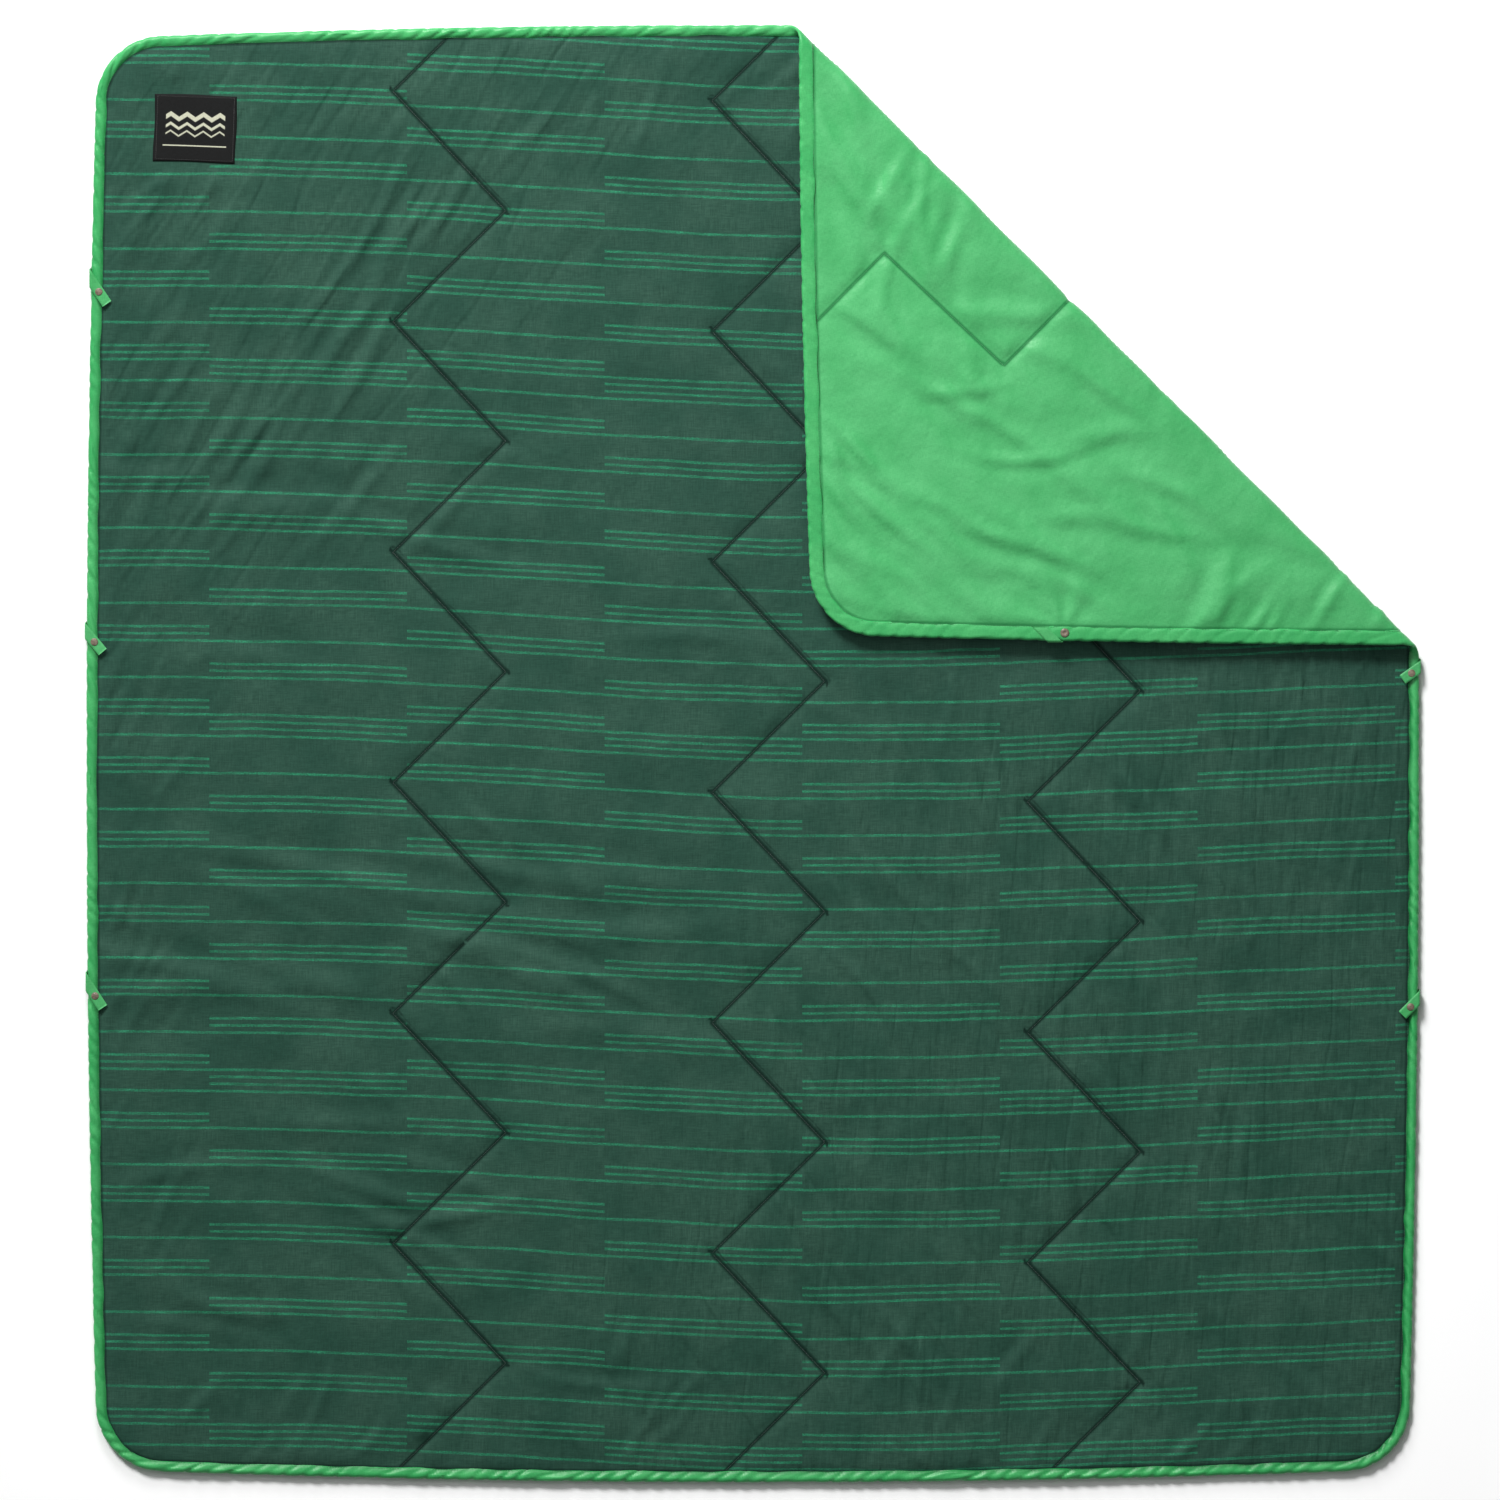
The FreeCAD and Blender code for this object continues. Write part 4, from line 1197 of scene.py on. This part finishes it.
def makeLabel():
    columns, rows = 45, 37
    s, t = np.meshgrid(np.linspace(-0.5, 0.5, columns), np.linspace(-0.5, 0.5, rows))
    wavy = 0.006 * np.sin(7 * t + 1) * np.abs(2 * s) ** 3
    x, y = patchWorld(s + wavy, t + 0.006 * np.sin(6 * s + 2) * np.abs(2 * t) ** 3)
    level = faceLevelAt(x, y)
    edge = np.clip((0.5 - np.maximum(np.abs(s), np.abs(t))) * 30, 0, 1)
    high = level + (0.75 + 0.55 * edge + 0.15 * np.sin(9 * s) * np.sin(7 * t)) * mm
    low = level + 0.15 * mm
    points = np.stack([np.stack([x, y, high], -1), np.stack([x, y, low], -1)]).reshape(-1, 3)
    piece = makeMesh("label_patch", points, closedFaces(gridFaces(rows, columns), s.size), [labelCloth])
    own = np.tile(np.stack([s, t, np.zeros_like(s)], -1).reshape(-1, 3), (2, 1)).astype(np.float32)
    piece.data.attributes.new("labelPlace", "FLOAT_VECTOR", "POINT").data.foreach_set("vector", own.ravel())
    return piece


def makeLabelStitches():
    inset, corners = 0.468, [(-1, -1), (1, -1), (1, 1), (-1, 1)]
    starts, ends = [], []
    for a, b in zip(corners, corners[1:] + corners[:1]):
        a, b = np.array(a) * inset, np.array(b) * inset
        long = np.linalg.norm((b - a) * patch["size"])
        number = int(long / (3.0 * mm))
        t = np.arange(number)[:, None] / number
        starts.append(a + (b - a) * t)
        ends.append(a + (b - a) * (t + 0.78 / number))
    starts, ends = np.concatenate(starts), np.concatenate(ends)
    starts = np.stack(patchWorld(starts[:, 0], starts[:, 1]), -1)
    ends = np.stack(patchWorld(ends[:, 0], ends[:, 1]), -1)
    centre = (starts + ends) / 2
    levels = faceLevelAt(centre[:, 0], centre[:, 1]) + 1.3 * mm
    return makeStitches("label_stitches", starts, ends, levels, np.ones(len(starts)), 0.25 * mm, 0.3 * mm,
                        labelThread)


labelPiece = makeLabel()
labelStitches = makeLabelStitches()


# the binding's own stitching: a row beside its inner edge on each side
def edgeStitches(name, inset, height, side):
    places, outs = outlinePath(stitch["pitch"])
    starts = places - outs * inset
    ends = np.roll(starts, -1, 0)
    ends = starts + (ends - starts) * 0.8
    levels = np.full(len(starts), height)
    return makeStitches(name, starts, ends, levels, np.full(len(starts), side), stitch["radius"], stitch["dip"],
                        tapeThread)


faceTopstitch = edgeStitches(
    "binding_topstitch_face", binding["faceFlange"] - 1.8 * mm, stitch["faceLevel"], 1.0)
liningTopstitch = edgeStitches(
    "binding_topstitch_lining", binding["liningFlange"] - 1.6 * mm, stitch["liningLevel"], -1.0)

# floor, lights and camera

print("stage")


def makeFloor():
    size = 6.0
    corners = np.array([(-size, -size, 0), (size, -size, 0), (size, size, 0), (-size, size, 0)], float)
    corners[:, 2] = cadBox[0][2] - 0.5 * mm
    paper = Finish("floor_paper", Roughness=0.9)
    speck = paper.noise(paper.place(), 3.0, 2.0)
    shade = paper.mix(speck, shown(250, 250, 250), shown(254, 254, 254))
    paper.wire(Base_Color=shade)
    floor = makeMesh("floor", corners, [[0, 1, 2, 3]], [paper.material], smooth=False)


studio = {
    "key": {"energy": 3.35, "spread": 14, "from": (-0.42, 0.90, 0.72)},
    "softbox": {"energy": 9.5, "size": 1.9, "place": (-0.1, 0.40, 1.40), "aim": (-0.1, 0.40, 0)},
    "raking": {"energy": 57.0, "size": 0.9, "place": (-0.8, 2.7, 1.6), "aim": (0, 0, 0)},
    "world": 0.17,
}


# turns a light so that its back points along away
def turnLight(light, away):
    light.rotation_euler = mathutils.Vector(away).to_track_quat("Z", "Y").to_euler()


def addLight(name, energy, size, place, aim):
    data = bpy.data.lights.new(name, "AREA")
    data.energy, data.size = energy, size
    light = bpy.data.objects.new(name, data)
    bpy.context.scene.collection.objects.link(light)
    light.location = place
    turnLight(light, np.array(place, float) - np.array(aim, float))


makeFloor()
light = bpy.data.lights.new("key", "SUN")
light.energy, light.angle = studio["key"]["energy"], math.radians(studio["key"]["spread"])
key = bpy.data.objects.new("key", light)
turnLight(key, studio["key"]["from"])
bpy.context.scene.collection.objects.link(key)
addLight("softbox", **studio["softbox"])
addLight("raking", **studio["raking"])
world = bpy.data.worlds.new("studio")
world.use_nodes = True
world.node_tree.nodes["Background"].inputs["Color"].default_value = (1, 1, 1, 1)
world.node_tree.nodes["Background"].inputs["Strength"].default_value = studio["world"]
scene = bpy.context.scene
scene.world = world
scene.view_settings.view_transform = "Standard"

view = {"height": 12.0, "across": 2.0513, "shiftX": -4 * mm, "shiftY": 5 * mm}
cameraData = bpy.data.cameras.new("camera")
cameraData.sensor_width = 36.0
cameraData.lens = 36.0 * view["height"] / view["across"]
cameraData.clip_end = 50.0
camera = bpy.data.objects.new("camera", cameraData)
camera.location = (view["shiftX"], view["shiftY"], view["height"])
scene.collection.objects.link(camera)
scene.camera = camera

# the bodies the pieces ride on, and the frame's parts that they replace, hidden

clear = cloths["headroom"] + 0.2 * mm
between = {"start": (0, 0, plan["loft"] + clear), "end": (0, 0, flapBase - clear)}
regions = ("main", "fold", "corner")
for piece, family, slot in ((face, "face_fabric", "face_cloth"), (lining, "lining", "lining_cloth")):
    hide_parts(*[family + "_" + region for region in regions])
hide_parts("insulation_main", "insulation_fold")
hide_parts("insulation_corner")
for piece, body in ((wadding, "main"), (cornerWadding, "corner")):
    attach(piece, body)
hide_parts("binding_main", "binding_corner", "binding_fold_head", "binding_fold_side")
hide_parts("quilting_thread_main", "quilting_thread_corner")
threads = (faceStitches, liningStitches, faceTopstitch, liningTopstitch)
for piece in (face, lining, tape, *threads):
    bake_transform(piece)
for name, (strapPiece, capPiece, postPiece) in tabPieces.items():
    hinge = joints["tab_hinge_" + name]["pos_m"]
    base = "corner" if name == "right_top" else "main"
    flip = -1 if base == "corner" else 1
    low = (hinge[0], hinge[1], hinge[2] - flip * 1.2 * mm)
    high = (hinge[0], hinge[1], hinge[2] - flip * 0.2 * mm)
    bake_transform(strapPiece)
    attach(capPiece, "tab_" + name)
    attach(postPiece, base)
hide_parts("label")
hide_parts("label_stitching")
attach(labelPiece, "main")
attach(labelStitches, "main")
cut = (2 * plan["halfWidth"], 2 * plan["halfLength"])
